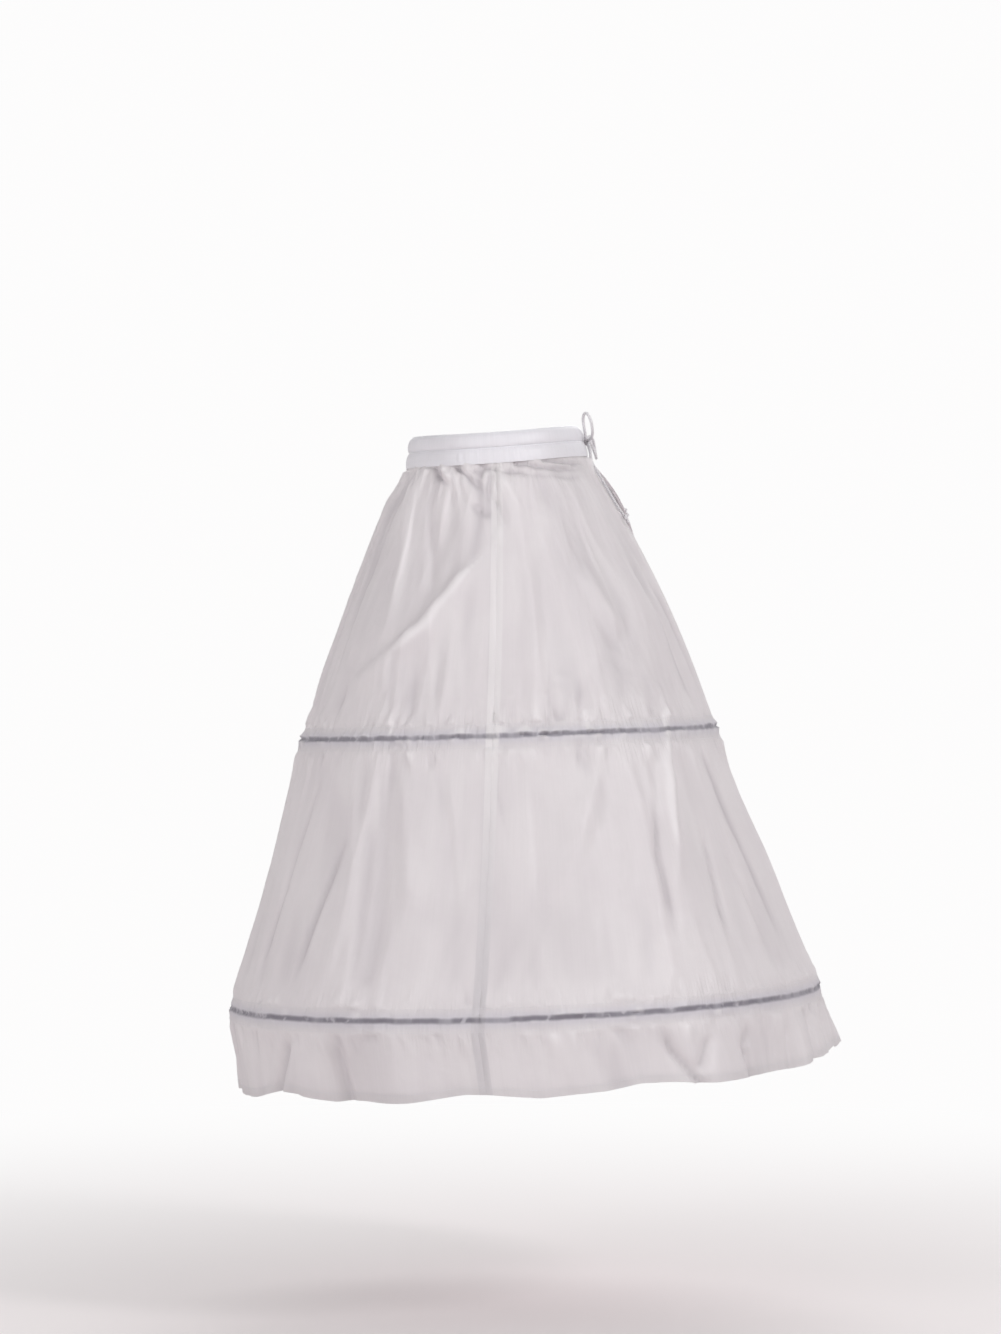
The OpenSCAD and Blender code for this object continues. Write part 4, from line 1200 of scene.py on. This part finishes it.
def tube(path: Array, radius: Array | float, sides: int) -> tuple[Array, list, Array]:
    """Sweep a round section along a path.

    Args:
        path: points of the middle line.
        radius: radius at each point, or one for all.
        sides: sides of the section.

    Returns:
        The points, the faces, and a UV pair for each point: length along, and turn round.
    """
    count = len(path)
    ahead = np.gradient(path, axis=0)
    ahead /= np.linalg.norm(ahead, axis=1, keepdims=True)
    across = np.cross(ahead[0], (0.3, 0.2, 0.9))
    frames = []
    for direction in ahead:
        across = across - direction * np.dot(across, direction)
        across = across / np.linalg.norm(across)
        frames.append((across, np.cross(direction, across)))
    turn = math.tau * np.arange(sides + 1) / sides
    wide = np.broadcast_to(radius, (count,))
    rings = [spot + reach * (np.cos(turn)[:, None] * first + np.sin(turn)[:, None] * second)
             for spot, reach, (first, second) in zip(path, wide, frames)]
    uv = np.stack(np.meshgrid(walk(path), turn / math.tau, indexing="ij"), axis=-1).reshape(-1, 2)
    number = np.arange(count * (sides + 1)).reshape(count, sides + 1)
    faces = quads(number)[:, [0, 3, 2, 1]]
    caps = [number[0, sides - 1::-1].tolist(), number[-1, :sides].tolist()]
    return np.concatenate(rings), faces.tolist() + caps, uv


def new_tubes(name: str, tubes: list[tuple[Array, list, Array]],
              material: bpy.types.Material) -> bpy.types.Object:
    """Make one piece of closed tubes.

    Args:
        name: the piece's name.
        tubes: points, faces and UV pairs of each tube.
        material: the piece's material.

    Returns:
        The piece, with its UV map and with the seam of each tube merged.
    """
    faces = []
    first = 0
    for points, own_faces, _ in tubes:
        faces.extend([number + first for number in face] for face in own_faces)
        first += len(points)
    piece = new_piece(name, np.concatenate([points for points, _, _ in tubes]), faces, material)
    lay_uv(piece, np.concatenate([uv for _, _, uv in tubes]))
    weld(piece)
    return piece


def resample(walked: Array, path: Array, offsets: Array) -> Array:
    """Points at given offsets along a path, of which the lengths walked are known."""
    return np.stack([np.interp(offsets, walked, values) for values in path.T], axis=-1)


def weld(piece: bpy.types.Object) -> None:
    """Merge points of a piece that lie at the same place."""
    shape = bmesh.new()
    shape.from_mesh(piece.data)
    bmesh.ops.remove_doubles(shape, verts=shape.verts, dist=MERGE_DISTANCE)
    shape.to_mesh(piece.data)
    shape.free()


@dataclass
class Waistband:
    """The folded band: two puffed channels with a stitched groove between them."""

    form: SkirtForm
    depth: float = 0.0026
    puff: float = 0.003
    lower_puff: float = 0.55
    groove: float = 0.001
    fold_edge: float = 0.00185
    cloth: float = 0.0004
    gap: float = 0.014
    columns: int = 400
    lining_rows: int = 9
    skin_rows: int = 37
    groove_row: int = -18
    gather_height: float = 0.0015
    gather_reach: float = 0.006
    upper_gathers: float = 0.45
    gather_waves: tuple[tuple[float, float, float], ...] = (
        (61, 20, 0.4), (97, 140, 0.35), (143, 260, 0.25))
    bunch_waves: tuple[tuple[float, float, float], ...] = ((5, 30, 0.6), (11, 200, 0.4))
    flat: tuple[float, float] = (0.74, 0.085)
    grid: Array = field(default=None, repr=False)

    def section(self) -> Array:
        """Outline of the fold from its lining's lower edge, over the top, to its skin's lower edge.

        Returns:
            Depth from the outer face and height above the middle, for each point.
        """
        half = self.form.band_height / 2.0
        top = half - self.fold_edge
        upright = np.linspace(-half, top, self.lining_rows)
        lining = np.stack([np.full(self.lining_rows, self.depth), upright], axis=-1)
        turn = np.radians(np.linspace(0.0, HALF_TURN, self.lining_rows)[1:-1])
        inward = self.depth / 2.0 * (1.0 + np.cos(turn))
        over = np.stack([inward, top + self.fold_edge * np.sin(turn)], axis=-1)
        height = np.linspace(top, -half, self.skin_rows)
        reach = np.where(height > 0.0, height / top, -height / half)
        round_lobe = np.power(np.clip(1.0 - np.square(2.0 * reach - 1.0), 0.0, 1.0), 0.5)
        sloped_lobe = np.power(np.clip(np.sin(np.pi * np.power(reach, 0.5)), 0.0, 1.0), 0.8)
        lobe = np.where(height > 0.0, round_lobe, self.lower_puff * sloped_lobe)
        skin = np.stack([self.groove * (1.0 - reach) - self.puff * lobe, height], axis=-1)
        return np.concatenate([lining, over, skin])

    def gathers(self, depth: Array, height: Array, angle: Array) -> Array:
        """Heights of the small gathers on the skin of both channels.

        Args:
            depth: depth of each point of the section.
            height: height of each point of the section.
            angle: angles of the columns.

        Returns:
            The heights, as a grid.
        """
        skin = np.arange(len(depth)) >= len(depth) - self.skin_rows
        below = -height / self.gather_reach
        lobes = np.where(height < 0.0, skin * smooth(below), np.clip(-depth / self.puff, 0.0, 1.0))
        low = np.where(height < 0.0, 1.0 - 0.7 * smooth(below - 2.0), self.upper_gathers)
        bunched = 0.6 + 0.4 * waves(self.bunch_waves, angle)
        ripple = 0.5 + 0.5 * waves(self.gather_waves, angle) * bunched
        return self.gather_height * ripple[None, :] * lobes[:, None] * low[:, None]

    def build(self, finish: bpy.types.Material) -> None:
        path = self.section()
        depth, height = path.T
        angle = self.form.open_angles(self.gap, self.columns + 1)
        out = -depth[:, None] + self.gathers(depth, height, angle)
        rings = np.array([self.form.waist_ring(above).values() for above in height])[:, None, :]
        spots = np.broadcast_to(angle, out.shape)
        self.grid = ring_points(np.broadcast_to(rings, out.shape + rings.shape[-1:]), spots, out)
        uv = grid_uv(np.radians(angle) * self.form.waist.half_width, walk(path))
        inward = -grid_normals(self.grid) * self.cloth
        piece = new_sheet("waistband_cloth", self.grid, inward, uv, finish)
        settle(piece, Slot.TAFFETA, "waistband")


@dataclass
class Drawstring:
    """The cord in the upper channel, and the bow at the centre back that it is tied in.

    Loops and tails are offsets in millimetres from the middle of the knot's end face on their own side.
    """

    form: SkirtForm
    diameter: float = 0.0035
    channel: float = 0.00925
    inward: float = -0.00015
    channel_points: int = 109
    knot: tuple[float, float, float] = (0.0, 0.11007, 0.0077)
    knot_length: float = 0.01
    core_length: float = 0.49
    core_radius: float = 0.0041
    coil_turns: float = 1.15
    coil_radius: float = 0.0037
    coil_tuck: float = 0.0016
    coil_pitch: float = 0.0031
    seat: float = 0.0059
    gap: float = 0.014
    tail_knot: float = 0.0035
    tail_knot_gap: float = 0.0004
    trefoil: float = 0.00068
    trefoil_cord: float = 0.0014
    stub_points: int = 12
    stub_reach: tuple[float, float] = (-0.0034, 0.0075)
    stub_radius: tuple[float, float] = (0.0015, 0.0019)
    stub_sag: float = 0.0012
    left_loop: tuple[tuple[float, float, float], ...] = (
        (0, 2, 2), (3, 2, 2), (9, 3, 2.5), (17, 4.5, 4.5), (25, 5, 9), (31, 4.5, 15), (34.5, 3, 22),
        (34, 0.5, 28.5), (29.5, -2.5, 32), (23.5, -5, 31), (18, -6, 26.5), (14, -5.5, 20.5),
        (11, -4.5, 14.5), (9, -3.5, 9.5), (6.5, -3, 5.5), (4, -2, 3), (1.5, -2, 2), (0, -2, 2))
    right_loop: tuple[tuple[float, float, float], ...] = (
        (0, -2, 2), (-3, -2, 2), (-9, -1, 5), (-17, 2, 7.5), (-25, 5, 7), (-32, 7.5, 3), (-37, 9, -4),
        (-37.5, 10, -11), (-33, 11, -17), (-26, 11, -18), (-20, 10, -14.5), (-15, 8, -10),
        (-11, 6, -5.5), (-7.5, 4, -1.5), (-4.5, 2.5, 1), (-1.5, 2, 2), (0, 2, 2))
    left_tail: tuple[tuple[float, float, float], ...] = (
        (0, 0, -2.5), (3, 0, -2.5), (7, 0.5, -3.5), (10.5, 1.5, -6.5), (13, 2.5, -11), (14.5, 3, -17),
        (15, 4, -24), (15, 7.4, -31), (15, 13, -40.5), (15, 18.5, -50), (15, 24, -59.5), (15, 29.5, -69),
        (15, 35, -78.5), (15, 42, -88))
    right_tail: tuple[tuple[float, float, float], ...] = (
        (0, 0, -2.5), (-3, 0, -2.5), (-7, 0.5, -4), (-10.5, 2, -7.5), (-13, 3.5, -12.5),
        (-14.5, 4, -18.5), (-15, 6, -25), (-15, 10, -31.5), (-15, 16.5, -40.5), (-15, 23.5, -50),
        (-15, 30, -59.5), (-15, 35.5, -69), (-15, 42.5, -78.5))

    def route(self, offsets: tuple[tuple[float, float, float], ...]) -> Array:
        """Points of a loop or tail, from its offsets."""
        side = math.copysign(1.0, offsets[1][0])
        start = np.array(self.knot) + (side * self.knot_length / 2.0, 0.0, 0.0)
        return start + np.array(offsets) * 0.001

    def build(self, finish: bpy.types.Material) -> None:
        """Make the cord in the channel, the knot, the two loops and the two tails."""
        self.channel_cord(finish)
        self.bow_knot(finish)
        for name, offsets in (("left_bow_loop", self.left_loop), ("right_bow_loop", self.right_loop)):
            self.free_cord(name, self.route(offsets), finish)
        for name, offsets in (("left_tail", self.left_tail), ("right_tail", self.right_tail)):
            route = self.route(offsets)
            knot = self.end_knot(f"{name}_knot", route, finish)
            self.free_cord(name, route, finish)

    def free_cord(self, name: str, route: Array, finish: bpy.types.Material) -> None:
        """Args:
            name: the CAD node that it stands for.
            route: the points that it passes through, from the knot on.
            finish: its material.
        """
        path = spline(route, 6)
        piece = new_tubes(f"{name}_cord", [tube(path, self.diameter / 2.0, 16)], finish)
        settle(piece, Slot.CORD, name)

    def end_knot(self, name: str, route: Array, finish: bpy.types.Material) -> bpy.types.Object:
        """Make the small overhand knot at the end of a tail, with its short cut end."""
        along = route[-1] - route[-2]
        along = along / np.linalg.norm(along)
        across = np.cross(along, (1.0, 0.0, 0.0))
        across /= np.linalg.norm(across)
        third = np.cross(along, across)
        middle = route[-1] + along * (self.tail_knot + self.tail_knot_gap)
        turn = np.linspace(0.0, math.tau, 97)
        trefoil = (np.outer(np.sin(turn) + 2.0 * np.sin(2.0 * turn), across)
                   + np.outer(np.cos(turn) - 2.0 * np.cos(2.0 * turn), third)
                   - np.outer(1.6 * np.sin(3.0 * turn), along)) * self.trefoil
        stub = middle + np.outer(np.linspace(*self.stub_reach, self.stub_points), along)
        drop = np.square(np.linspace(0.0, 1.0, self.stub_points))
        stub += np.outer(drop, (0.0, 0.0, -self.stub_sag))
        wide = np.linspace(*self.stub_radius, self.stub_points)
        tubes = [tube(middle + trefoil, self.trefoil_cord, 12), tube(stub, wide, 12)]
        return settle(new_tubes(f"{name}_cord", tubes, finish), Slot.CORD, name)

    def bow_knot(self, finish: bpy.types.Material) -> None:
        """Make the wound middle of the bow."""
        middle = np.array(self.knot)
        turn = np.linspace(-self.coil_turns, self.coil_turns, 120) * math.tau
        turns = turn / math.tau
        reach = self.coil_radius - self.coil_tuck * smooth((np.abs(turn) / math.tau - 0.95) / 0.2)
        coil = np.stack([turns * self.coil_pitch, reach * np.cos(turn), reach * np.sin(turn)], axis=-1)
        span = np.linspace(-1.0, 1.0, 25)
        core_path = middle + np.outer(span * self.knot_length * self.core_length, (1.0, 0.0, 0.0))
        core = self.core_radius * np.sqrt(1.0 - 0.75 * np.power(np.abs(span), 3.0))
        tubes = [tube(middle + coil, self.diameter / 2.0, 14), tube(core_path, core, 24)]
        settle(new_tubes("bow_knot_cord", tubes, finish), Slot.CORD, "bow_knot")

    def channel_cord(self, finish: bpy.types.Material) -> None:
        """Make the cord that runs round inside the upper channel and out at both ends to the knot."""
        ring = self.form.waist_ring(self.channel, self.inward).values()
        angle = self.form.open_angles(self.gap, self.channel_points)
        round_path = ring_points(np.broadcast_to(ring, angle.shape + ring.shape), angle, 0.0)
        channel_end = ring_points(ring, np.array(BACK), 0.0)
        knot = np.array(self.knot)
        from_knot = (channel_end - knot) / np.linalg.norm(channel_end - knot)
        stubs = []
        for side in (-1.0, 1.0):
            aside = np.array((side * self.diameter * 0.6, 0.0, 0.0))
            turn = channel_end + (side * self.gap * 0.34, self.diameter * 0.3, 0.0)
            stubs.append([turn, knot + aside + from_knot * (self.seat + self.diameter / 2.0),
                          knot + aside + from_knot * self.seat])
        path = spline(np.concatenate([stubs[0][::-1], round_path, stubs[1]]), 3)
        piece = new_tubes("drawstring_cord", [tube(path, self.diameter / 2.0, 12)], finish)
        settle(piece, Slot.CORD, "drawstring")


@dataclass
class Casing:
    """A soft tape sewn inside the cloth along both edges, with a pocket for its hoop."""

    skirt: Skirt
    tier: Tier
    pocket: float
    pocket_half: float = 0.0034
    tape: float = 0.00035
    clear: float = 0.0007
    opening: float = 0.046
    cut_ease: float = 1.01
    cut_height: float = 0.031

    def build(self, name: str, finish: bpy.types.Material) -> None:
        skirt = self.skirt
        form = skirt.form
        rows = slice(skirt.row(self.tier.value), skirt.row(self.tier.value + 1) + 1)
        share = 1.0 - 2.0 * (skirt.level[rows] - self.tier.value)
        angle = skirt.column_angles()
        level, turn = np.meshgrid(skirt.level[rows], angle, indexing="ij")
        middle = form.rings(np.array(self.tier.value + 0.5))
        rings = form.rings(level)
        rings[..., [WIDTH, DEPTH]] = middle[[WIDTH, DEPTH]]
        deep = ring_points(rings, form.lean(turn, level), -self.pocket)
        off = np.abs(share) * form.half_casing
        held = smooth((off - self.pocket_half) / (form.half_casing - self.pocket_half))[:, None, None]
        outer = deep + (skirt.lining(self.clear)[rows] - deep) * held
        reach = self.opening / 2.0 / middle[WIDTH]
        skip = int(math.ceil(math.degrees(reach) / FULL_TURN * skirt.columns))
        shown = slice(skip, skirt.columns + 1 - skip)
        outer = outer[:, shown]
        uv = grid_uv(np.radians(angle[shown]) * middle[WIDTH], form.length(skirt.level[rows]))
        piece = new_sheet(f"{name}_tape", outer, -grid_normals(outer) * self.tape, uv, finish)
        settle(piece, Slot.TAPE, name)


@dataclass
class SeamStrips:
    """Seam allowances along the side and back seams, and the turned-up hem, all inside the cloth."""

    skirt: Skirt
    half_width: float = 0.008
    hem_height: float = 0.011
    strip: float = 0.00025
    clear: float = 0.00006
    columns: int = 8
    near: int = 12
    foot: float = 4.84
    cut_ease: float = 1.06
    hem_length: float = 2.4
    hem_edge: float = 0.0002
    hem_rows: int = 9
    fold_rows: int = 6
    carriers: dict[str, list[str]] = field(default_factory=lambda: {
        "right_side_seam": ["front_panel_cloth", "right_back_panel_cloth"],
        "left_side_seam": ["front_panel_cloth", "left_back_panel_cloth"],
        "centre_back_seam": ["right_back_panel_cloth", "left_back_panel_cloth"],
        "hem_fold": ["front_panel_cloth", "right_back_panel_cloth", "left_back_panel_cloth"]})

    def build(self, finish: bpy.types.Material) -> None:
        """Make the four strips."""
        quarter = self.skirt.columns // 4
        sides = np.arange(-self.near, self.near + 1)
        back = np.concatenate([sides[:self.near] - 1, sides[self.near:]])
        self.seam("right_side_seam", quarter + sides, 0.0, finish)
        self.seam("left_side_seam", 3 * quarter + sides, 0.0, finish)
        self.seam("centre_back_seam", back, self.skirt.drape.placket_share, finish)
        self.hem(finish)

    def lay(self, name: str, outer: Array, uv: Array, finish: bpy.types.Material,
            flat: tuple[float, float]) -> None:
        """Args:
            name: the strip's name.
            outer: its outer face, a grid of points.
            uv: places on the strip, in metres.
            finish: its material.
            flat: its width and length before it was sewn; not used.
        """
        piece = new_sheet(name, outer, -grid_normals(outer) * self.strip, uv, finish)
        settle(piece, Slot.TAFFETA)

    def seam(self, name: str, columns: Array, top: float, finish: bpy.types.Material) -> None:
        """Make the allowances of one seam, pressed open.

        Args:
            name: the strip's name.
            columns: the cloth's columns beside the seam, with the seam in their middle.
            top: level at which the strip begins.
            finish: its material.
        """
        skirt = self.skirt
        rows = (skirt.level >= top) & (skirt.level <= self.foot)
        near = skirt.lining(self.clear)[rows][:, columns]
        walked = walk(near, axis=1)
        walked = walked - walked[:, self.near:self.near + 1]
        offsets = np.linspace(-self.half_width, self.half_width, 2 * self.columns + 1)
        outer = np.stack([resample(row, path, offsets) for row, path in zip(walked, near)])
        down = skirt.form.length(skirt.level[rows])
        flat = (2.0 * self.half_width, self.cut_ease * float(np.ptp(down)))
        self.lay(name, outer, grid_uv(offsets, down), finish, flat)

    def hem(self, finish: bpy.types.Material) -> None:
        """Make the turned-up hem."""
        skirt = self.skirt
        upwards = skirt.lining(self.clear)[:-self.hem_rows - 1:-1]
        walked = walk(upwards[::-1])
        risen = (walked[-1:] - walked)[::-1]
        offsets = np.linspace(self.hem_height, self.hem_edge, self.fold_rows)
        columns = zip(risen.T, upwards.swapaxes(0, 1))
        outer = np.stack([resample(rise, path, offsets) for rise, path in columns], axis=1)
        across = np.radians(skirt.column_angles()) * skirt.form.hem.half_width
        flat = (self.hem_length, self.hem_height)
        self.lay("hem_fold", outer, grid_uv(across, offsets), finish, flat)


@dataclass
class Stitching:
    """Rows of thread stitches, set along paths on the cloth by a node tree."""

    spacing: float = 0.0034
    length: float = 0.0013
    width: float = 0.00028
    lift: float = 0.0001
    hem_row: int = -4
    placket_columns: tuple[int, int] = (4, -5)
    material: bpy.types.Material = None

    def tree(self) -> bpy.types.NodeTree:
        """Make the tree that sets one stitch at each step of a path."""
        tree = bpy.data.node_groups.new("stitch_row", "GeometryNodeTree")
        face = tree.interface
        face.new_socket("Geometry", in_out="INPUT", socket_type="NodeSocketGeometry")
        for label in ("Spacing", "Length", "Width"):
            face.new_socket(label, in_out="INPUT", socket_type="NodeSocketFloat")
        face.new_socket("Thread", in_out="INPUT", socket_type="NodeSocketMaterial")
        face.new_socket("Geometry", in_out="OUTPUT", socket_type="NodeSocketGeometry")
        nodes = Nodes(tree)
        given = nodes.add("NodeGroupInput").outputs
        route = nodes.add("GeometryNodeMeshToCurve", {0: given["Geometry"]})
        steps = nodes.add("GeometryNodeResampleCurve",
                          {"Curve": route.outputs[0], "Length": given["Spacing"]}, mode="LENGTH")
        outward = nodes.add("GeometryNodeInputNamedAttribute", {"Name": "outward"},
                            data_type="FLOAT_VECTOR")
        tangent = nodes.add("GeometryNodeInputTangent")
        upright = nodes.add("FunctionNodeAlignRotationToVector", {"Vector": outward.outputs[0]}, axis="Z")
        turned = nodes.add("FunctionNodeAlignRotationToVector",
                           {"Rotation": upright.outputs[0], "Vector": tangent.outputs[0]},
                           axis="X", pivot_axis="Z")
        thread = nodes.add("GeometryNodeMeshUVSphere", {"Segments": 6, "Rings": 4, "Radius": 1.0})
        size = nodes.add("ShaderNodeCombineXYZ", {0: given["Length"], 1: given["Width"], 2: given["Width"]})
        laid = nodes.add("GeometryNodeInstanceOnPoints", {
            "Points": steps.outputs[0], "Instance": thread.outputs[0], "Rotation": turned.outputs[0],
            "Scale": size.outputs[0]})
        real = nodes.add("GeometryNodeRealizeInstances", {0: laid.outputs[0]})
        dressed = nodes.add("GeometryNodeSetMaterial",
                            {"Geometry": real.outputs[0], "Material": given["Thread"]})
        nodes.add("NodeGroupOutput", {0: dressed.outputs[0]})
        return tree

    def paths(self, skirt: Skirt, band: Waistband) -> dict[str, list[tuple[Array, Array]]]:
        """Routes of every row of stitches.

        Args:
            skirt: the draped skirt.
            band: the waistband.

        Returns:
            For each piece of stitching its rows, as points and outward directions.
        """
        normals = grid_normals(skirt.grid)
        lifted = skirt.grid + normals * self.lift
        paths = {}
        for name, tier in (("upper_casing_stitches", Tier.UPPER_CASING),
                           ("lower_casing_stitches", Tier.LOWER_CASING)):
            edges = [skirt.row(tier.value), skirt.row(tier.value + 1)]
            paths[name] = [(lifted[edge], normals[edge]) for edge in edges]
        paths["hem_stitches"] = [(lifted[self.hem_row], normals[self.hem_row])]
        slit = skirt.level < skirt.drape.placket_share
        paths["placket_stitches"] = [(lifted[slit, column], normals[slit, column])
                                     for column in self.placket_columns]
        groove = grid_normals(band.grid)[band.groove_row]
        paths["band_stitches"] = [(band.grid[band.groove_row] + groove * self.lift, groove)]
        return paths

    def build(self, name: str, paths: list[tuple[Array, Array]], tree: bpy.types.NodeTree) -> None:
        """Make the stitches along paths as one plain mesh piece.

        Args:
            name: name of the piece.
            paths: for each row its points and the outward directions at them.
            tree: the stitch tree.
        """
        points = np.concatenate([spots for spots, _ in paths])
        outward = np.concatenate([normals for _, normals in paths])
        edges = []
        first = 0
        for spots, _ in paths:
            edges.extend((number, number + 1) for number in range(first, first + len(spots) - 1))
            first += len(spots)
        mesh = bpy.data.meshes.new(f"{name}_route")
        mesh.from_pydata(points.tolist(), edges, [])
        layer = mesh.attributes.new("outward", "FLOAT_VECTOR", "POINT")
        layer.data.foreach_set("vector", outward.astype(np.float32).ravel())
        route = bpy.data.objects.new(f"{name}_route", mesh)
        bpy.context.scene.collection.objects.link(route)
        modifier = route.modifiers.new("stitches", "NODES")
        modifier.node_group = tree
        sizes = {"Spacing": self.spacing, "Length": self.length, "Width": self.width,
                 "Thread": self.material}
        for item in tree.interface.items_tree:
            if item.item_type == "SOCKET" and item.in_out == "INPUT" and item.name in sizes:
                modifier[item.identifier] = sizes[item.name]
        graph = bpy.context.evaluated_depsgraph_get()
        plain = bpy.data.meshes.new_from_object(route.evaluated_get(graph), depsgraph=graph)
        bpy.data.objects.remove(route)
        plain.name = name
        plain.shade_smooth()
        piece = bpy.data.objects.new(name, plain)
        bpy.context.scene.collection.objects.link(piece)
        settle(piece, Slot.TAFFETA)


@dataclass
class Studio:
    """Pale floor, white surroundings, soft lamps and the camera."""

    eye: tuple[float, float, float] = (4.92, 0.0054, -0.2628)
    lens: float = 110.64
    sensor: float = 36.0
    aim: tuple[float, float, float] = (0.0, 0.03, -0.4)
    lamps: tuple[tuple[str, tuple[float, float, float], float, float], ...] = (
        ("key", (2.7, 3.3, 1.8), 1.1, 112.0), ("fill", (3.3, -3.1, 0.8), 2.0, 91.0),
        ("back", (-2.6, 0.4, 1.6), 2.4, 50.0))
    surround: float = 0.25
    white: Colour = (0.98, 0.975, 0.975, 1.0)
    floor_tones: tuple[Colour, Colour] = ((0.67, 0.60, 0.605, 1.0), (0.70, 0.63, 0.635, 1.0))
    floor_roughness: float = 0.7
    floor_fade: tuple[float, float] = (-0.6, 2.2)
    floor_height: float = -1.02
    floor_ends: tuple[float, float] = (-60.0, 12.0)
    floor_side: float = 40.0

    def build(self) -> None:
        """Make the whole studio."""
        self.camera()
        self.world()
        self.floor()
        for lamp in self.lamps:
            self.lamp(*lamp)

    def camera(self) -> None:
        """Place the level camera on the wearer's left."""
        data = bpy.data.cameras.new("camera")
        data.lens = self.lens
        data.sensor_width = self.sensor
        camera = bpy.data.objects.new("camera", data)
        camera.location = self.eye
        camera.rotation_euler = (math.radians(90.0), 0.0, math.radians(90.0))
        bpy.context.scene.collection.objects.link(camera)
        bpy.context.scene.camera = camera

    def seen(self, nodes: Nodes) -> Socket:
        """1 where the surroundings are looked at, straight or in gloss, 0 where they only give light."""
        path = nodes.add("ShaderNodeLightPath").outputs
        gloss = nodes.math("MAXIMUM", path["Is Glossy Ray"], path["Is Transmission Ray"])
        return nodes.math("MAXIMUM", path["Is Camera Ray"], gloss)

    def world(self) -> None:
        """White to the eye, plain grey as a light."""
        world = bpy.data.worlds.new("surround")
        world.use_nodes = True
        nodes = Nodes(world.node_tree)
        strength = nodes.spread(self.seen(nodes), 0.0, 1.0, self.surround, 1.0)
        backdrop = world.node_tree.nodes["Background"]
        backdrop.inputs["Color"].default_value = self.white
        nodes.feed(backdrop.inputs["Strength"], strength)
        bpy.context.scene.world = world

    def floor(self) -> None:
        """A pale floor, open from below, that fades to white all round the object."""
        material, nodes, shader, sink = new_material("studio_floor")
        place = nodes.add("ShaderNodeTexCoord").outputs["Object"]
        flat = nodes.stretch(place, (1.0, 1.0, 0.0))
        away = nodes.add("ShaderNodeVectorMath", {0: flat}, operation="LENGTH").outputs["Value"]
        shade = nodes.mix(nodes.noise(place, 3.0, 3.0), *self.floor_tones)
        nodes.feed(shader.inputs["Base Color"], shade)
        shader.inputs["Roughness"].default_value = self.floor_roughness
        far = nodes.math("MULTIPLY", nodes.spread(away, *self.floor_fade, 0.0, 1.0), self.seen(nodes))
        white = nodes.add("ShaderNodeEmission", {"Color": self.white, "Strength": 1.0})
        under = nodes.add("ShaderNodeNewGeometry").outputs["Backfacing"]
        clear = nodes.add("ShaderNodeBsdfTransparent")
        sided = nodes.blend(under, nodes.blend(far, shader, white), clear)
        nodes.feed(sink.inputs["Surface"], sided.outputs[0])
        low, high = self.floor_ends
        side = self.floor_side
        corners = [(low, -side, 0.0), (high, -side, 0.0), (high, side, 0.0), (low, side, 0.0)]
        points = np.array(corners) + (0.0, 0.0, self.floor_height)
        new_piece("floor", points, [(0, 1, 2, 3)], material)

    def lamp(self, name: str, place: tuple[float, float, float], size: float, power: float) -> None:
        """Add a soft lamp that looks at the middle of the skirt."""
        data = bpy.data.lights.new(name, "AREA")
        data.shape = "DISK"
        data.size = size
        data.energy = power
        lamp = bpy.data.objects.new(name, data)
        lamp.location = place
        aim = Vector(self.aim) - Vector(place)
        lamp.rotation_euler = aim.to_track_quat("-Z", "Y").to_euler()
        bpy.context.scene.collection.objects.link(lamp)


def main() -> None:
    """Build the studio and every piece in order."""
    logging.basicConfig(level=logging.INFO, format="%(name)s %(message)s")
    bpy.context.scene.view_settings.view_transform = "Standard"
    Studio().build()
    weave = weave_group()
    form = SkirtForm()
    skirt = Skirt(form, Drape(form))
    casings = (Tier.UPPER_CASING, Tier.LOWER_CASING)
    lines = tuple(form.length(np.array(tier.value + 0.5)) for tier in casings)
    taffeta = ClothFinish("white_taffeta", hoop_lines=lines).material(weave)
    plain = ClothFinish("plain_taffeta", translucency=0.25).material(weave)
    tape = ClothFinish("casing_tape", roughness=0.6, pitch=0.0006, sheen=0.1).material(weave)
    skirt.build(taffeta)
    band = Waistband(form)
    band_finish = ClothFinish("band_taffeta", colour=(0.88, 0.87, 0.915, 1.0),
                              creased=(0.85, 0.835, 0.875, 1.0), translucency=0.12)
    band.build(band_finish.material(weave))
    Drawstring(form).build(CordFinish("white_cord").material())
    Casing(skirt, Tier.UPPER_CASING, 0.0048).build("upper_casing", tape)
    Casing(skirt, Tier.LOWER_CASING, 0.0043).build("lower_casing", tape)
    SeamStrips(skirt).build(plain)
    thread = HardFinish("white_thread", (0.84, 0.83, 0.86, 1.0), (0.8, 0.79, 0.82, 1.0), 0.0, 0.5)
    stitching = Stitching(material=thread.material())
    stitch_tree = stitching.tree()
    for name, paths in stitching.paths(skirt, band).items():
        stitching.build(name, paths, stitch_tree)
    steel = HardFinish("spring_steel", (0.30, 0.29, 0.33, 1.0), (0.38, 0.37, 0.40, 1.0), 0.9, 0.4)
    sleeve = HardFinish("sleeve_plastic", (0.62, 0.62, 0.64, 1.0), (0.56, 0.56, 0.58, 1.0), 0.0, 0.45)
    elastic = HardFinish("waist_elastic", (0.8, 0.8, 0.81, 1.0), (0.74, 0.74, 0.75, 1.0), 0.0, 0.8)
    for finish, names in ((steel, ("upper_hoop", "lower_hoop")),
                          (sleeve, ("upper_hoop_sleeve", "lower_hoop_sleeve")),
                          (elastic, ("waist_elastic",))):
        material = finish.material()
        for name in names:
            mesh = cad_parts[name].data
            mesh.materials.clear()
            mesh.materials.append(material)


if __name__ == "__main__":
    main()
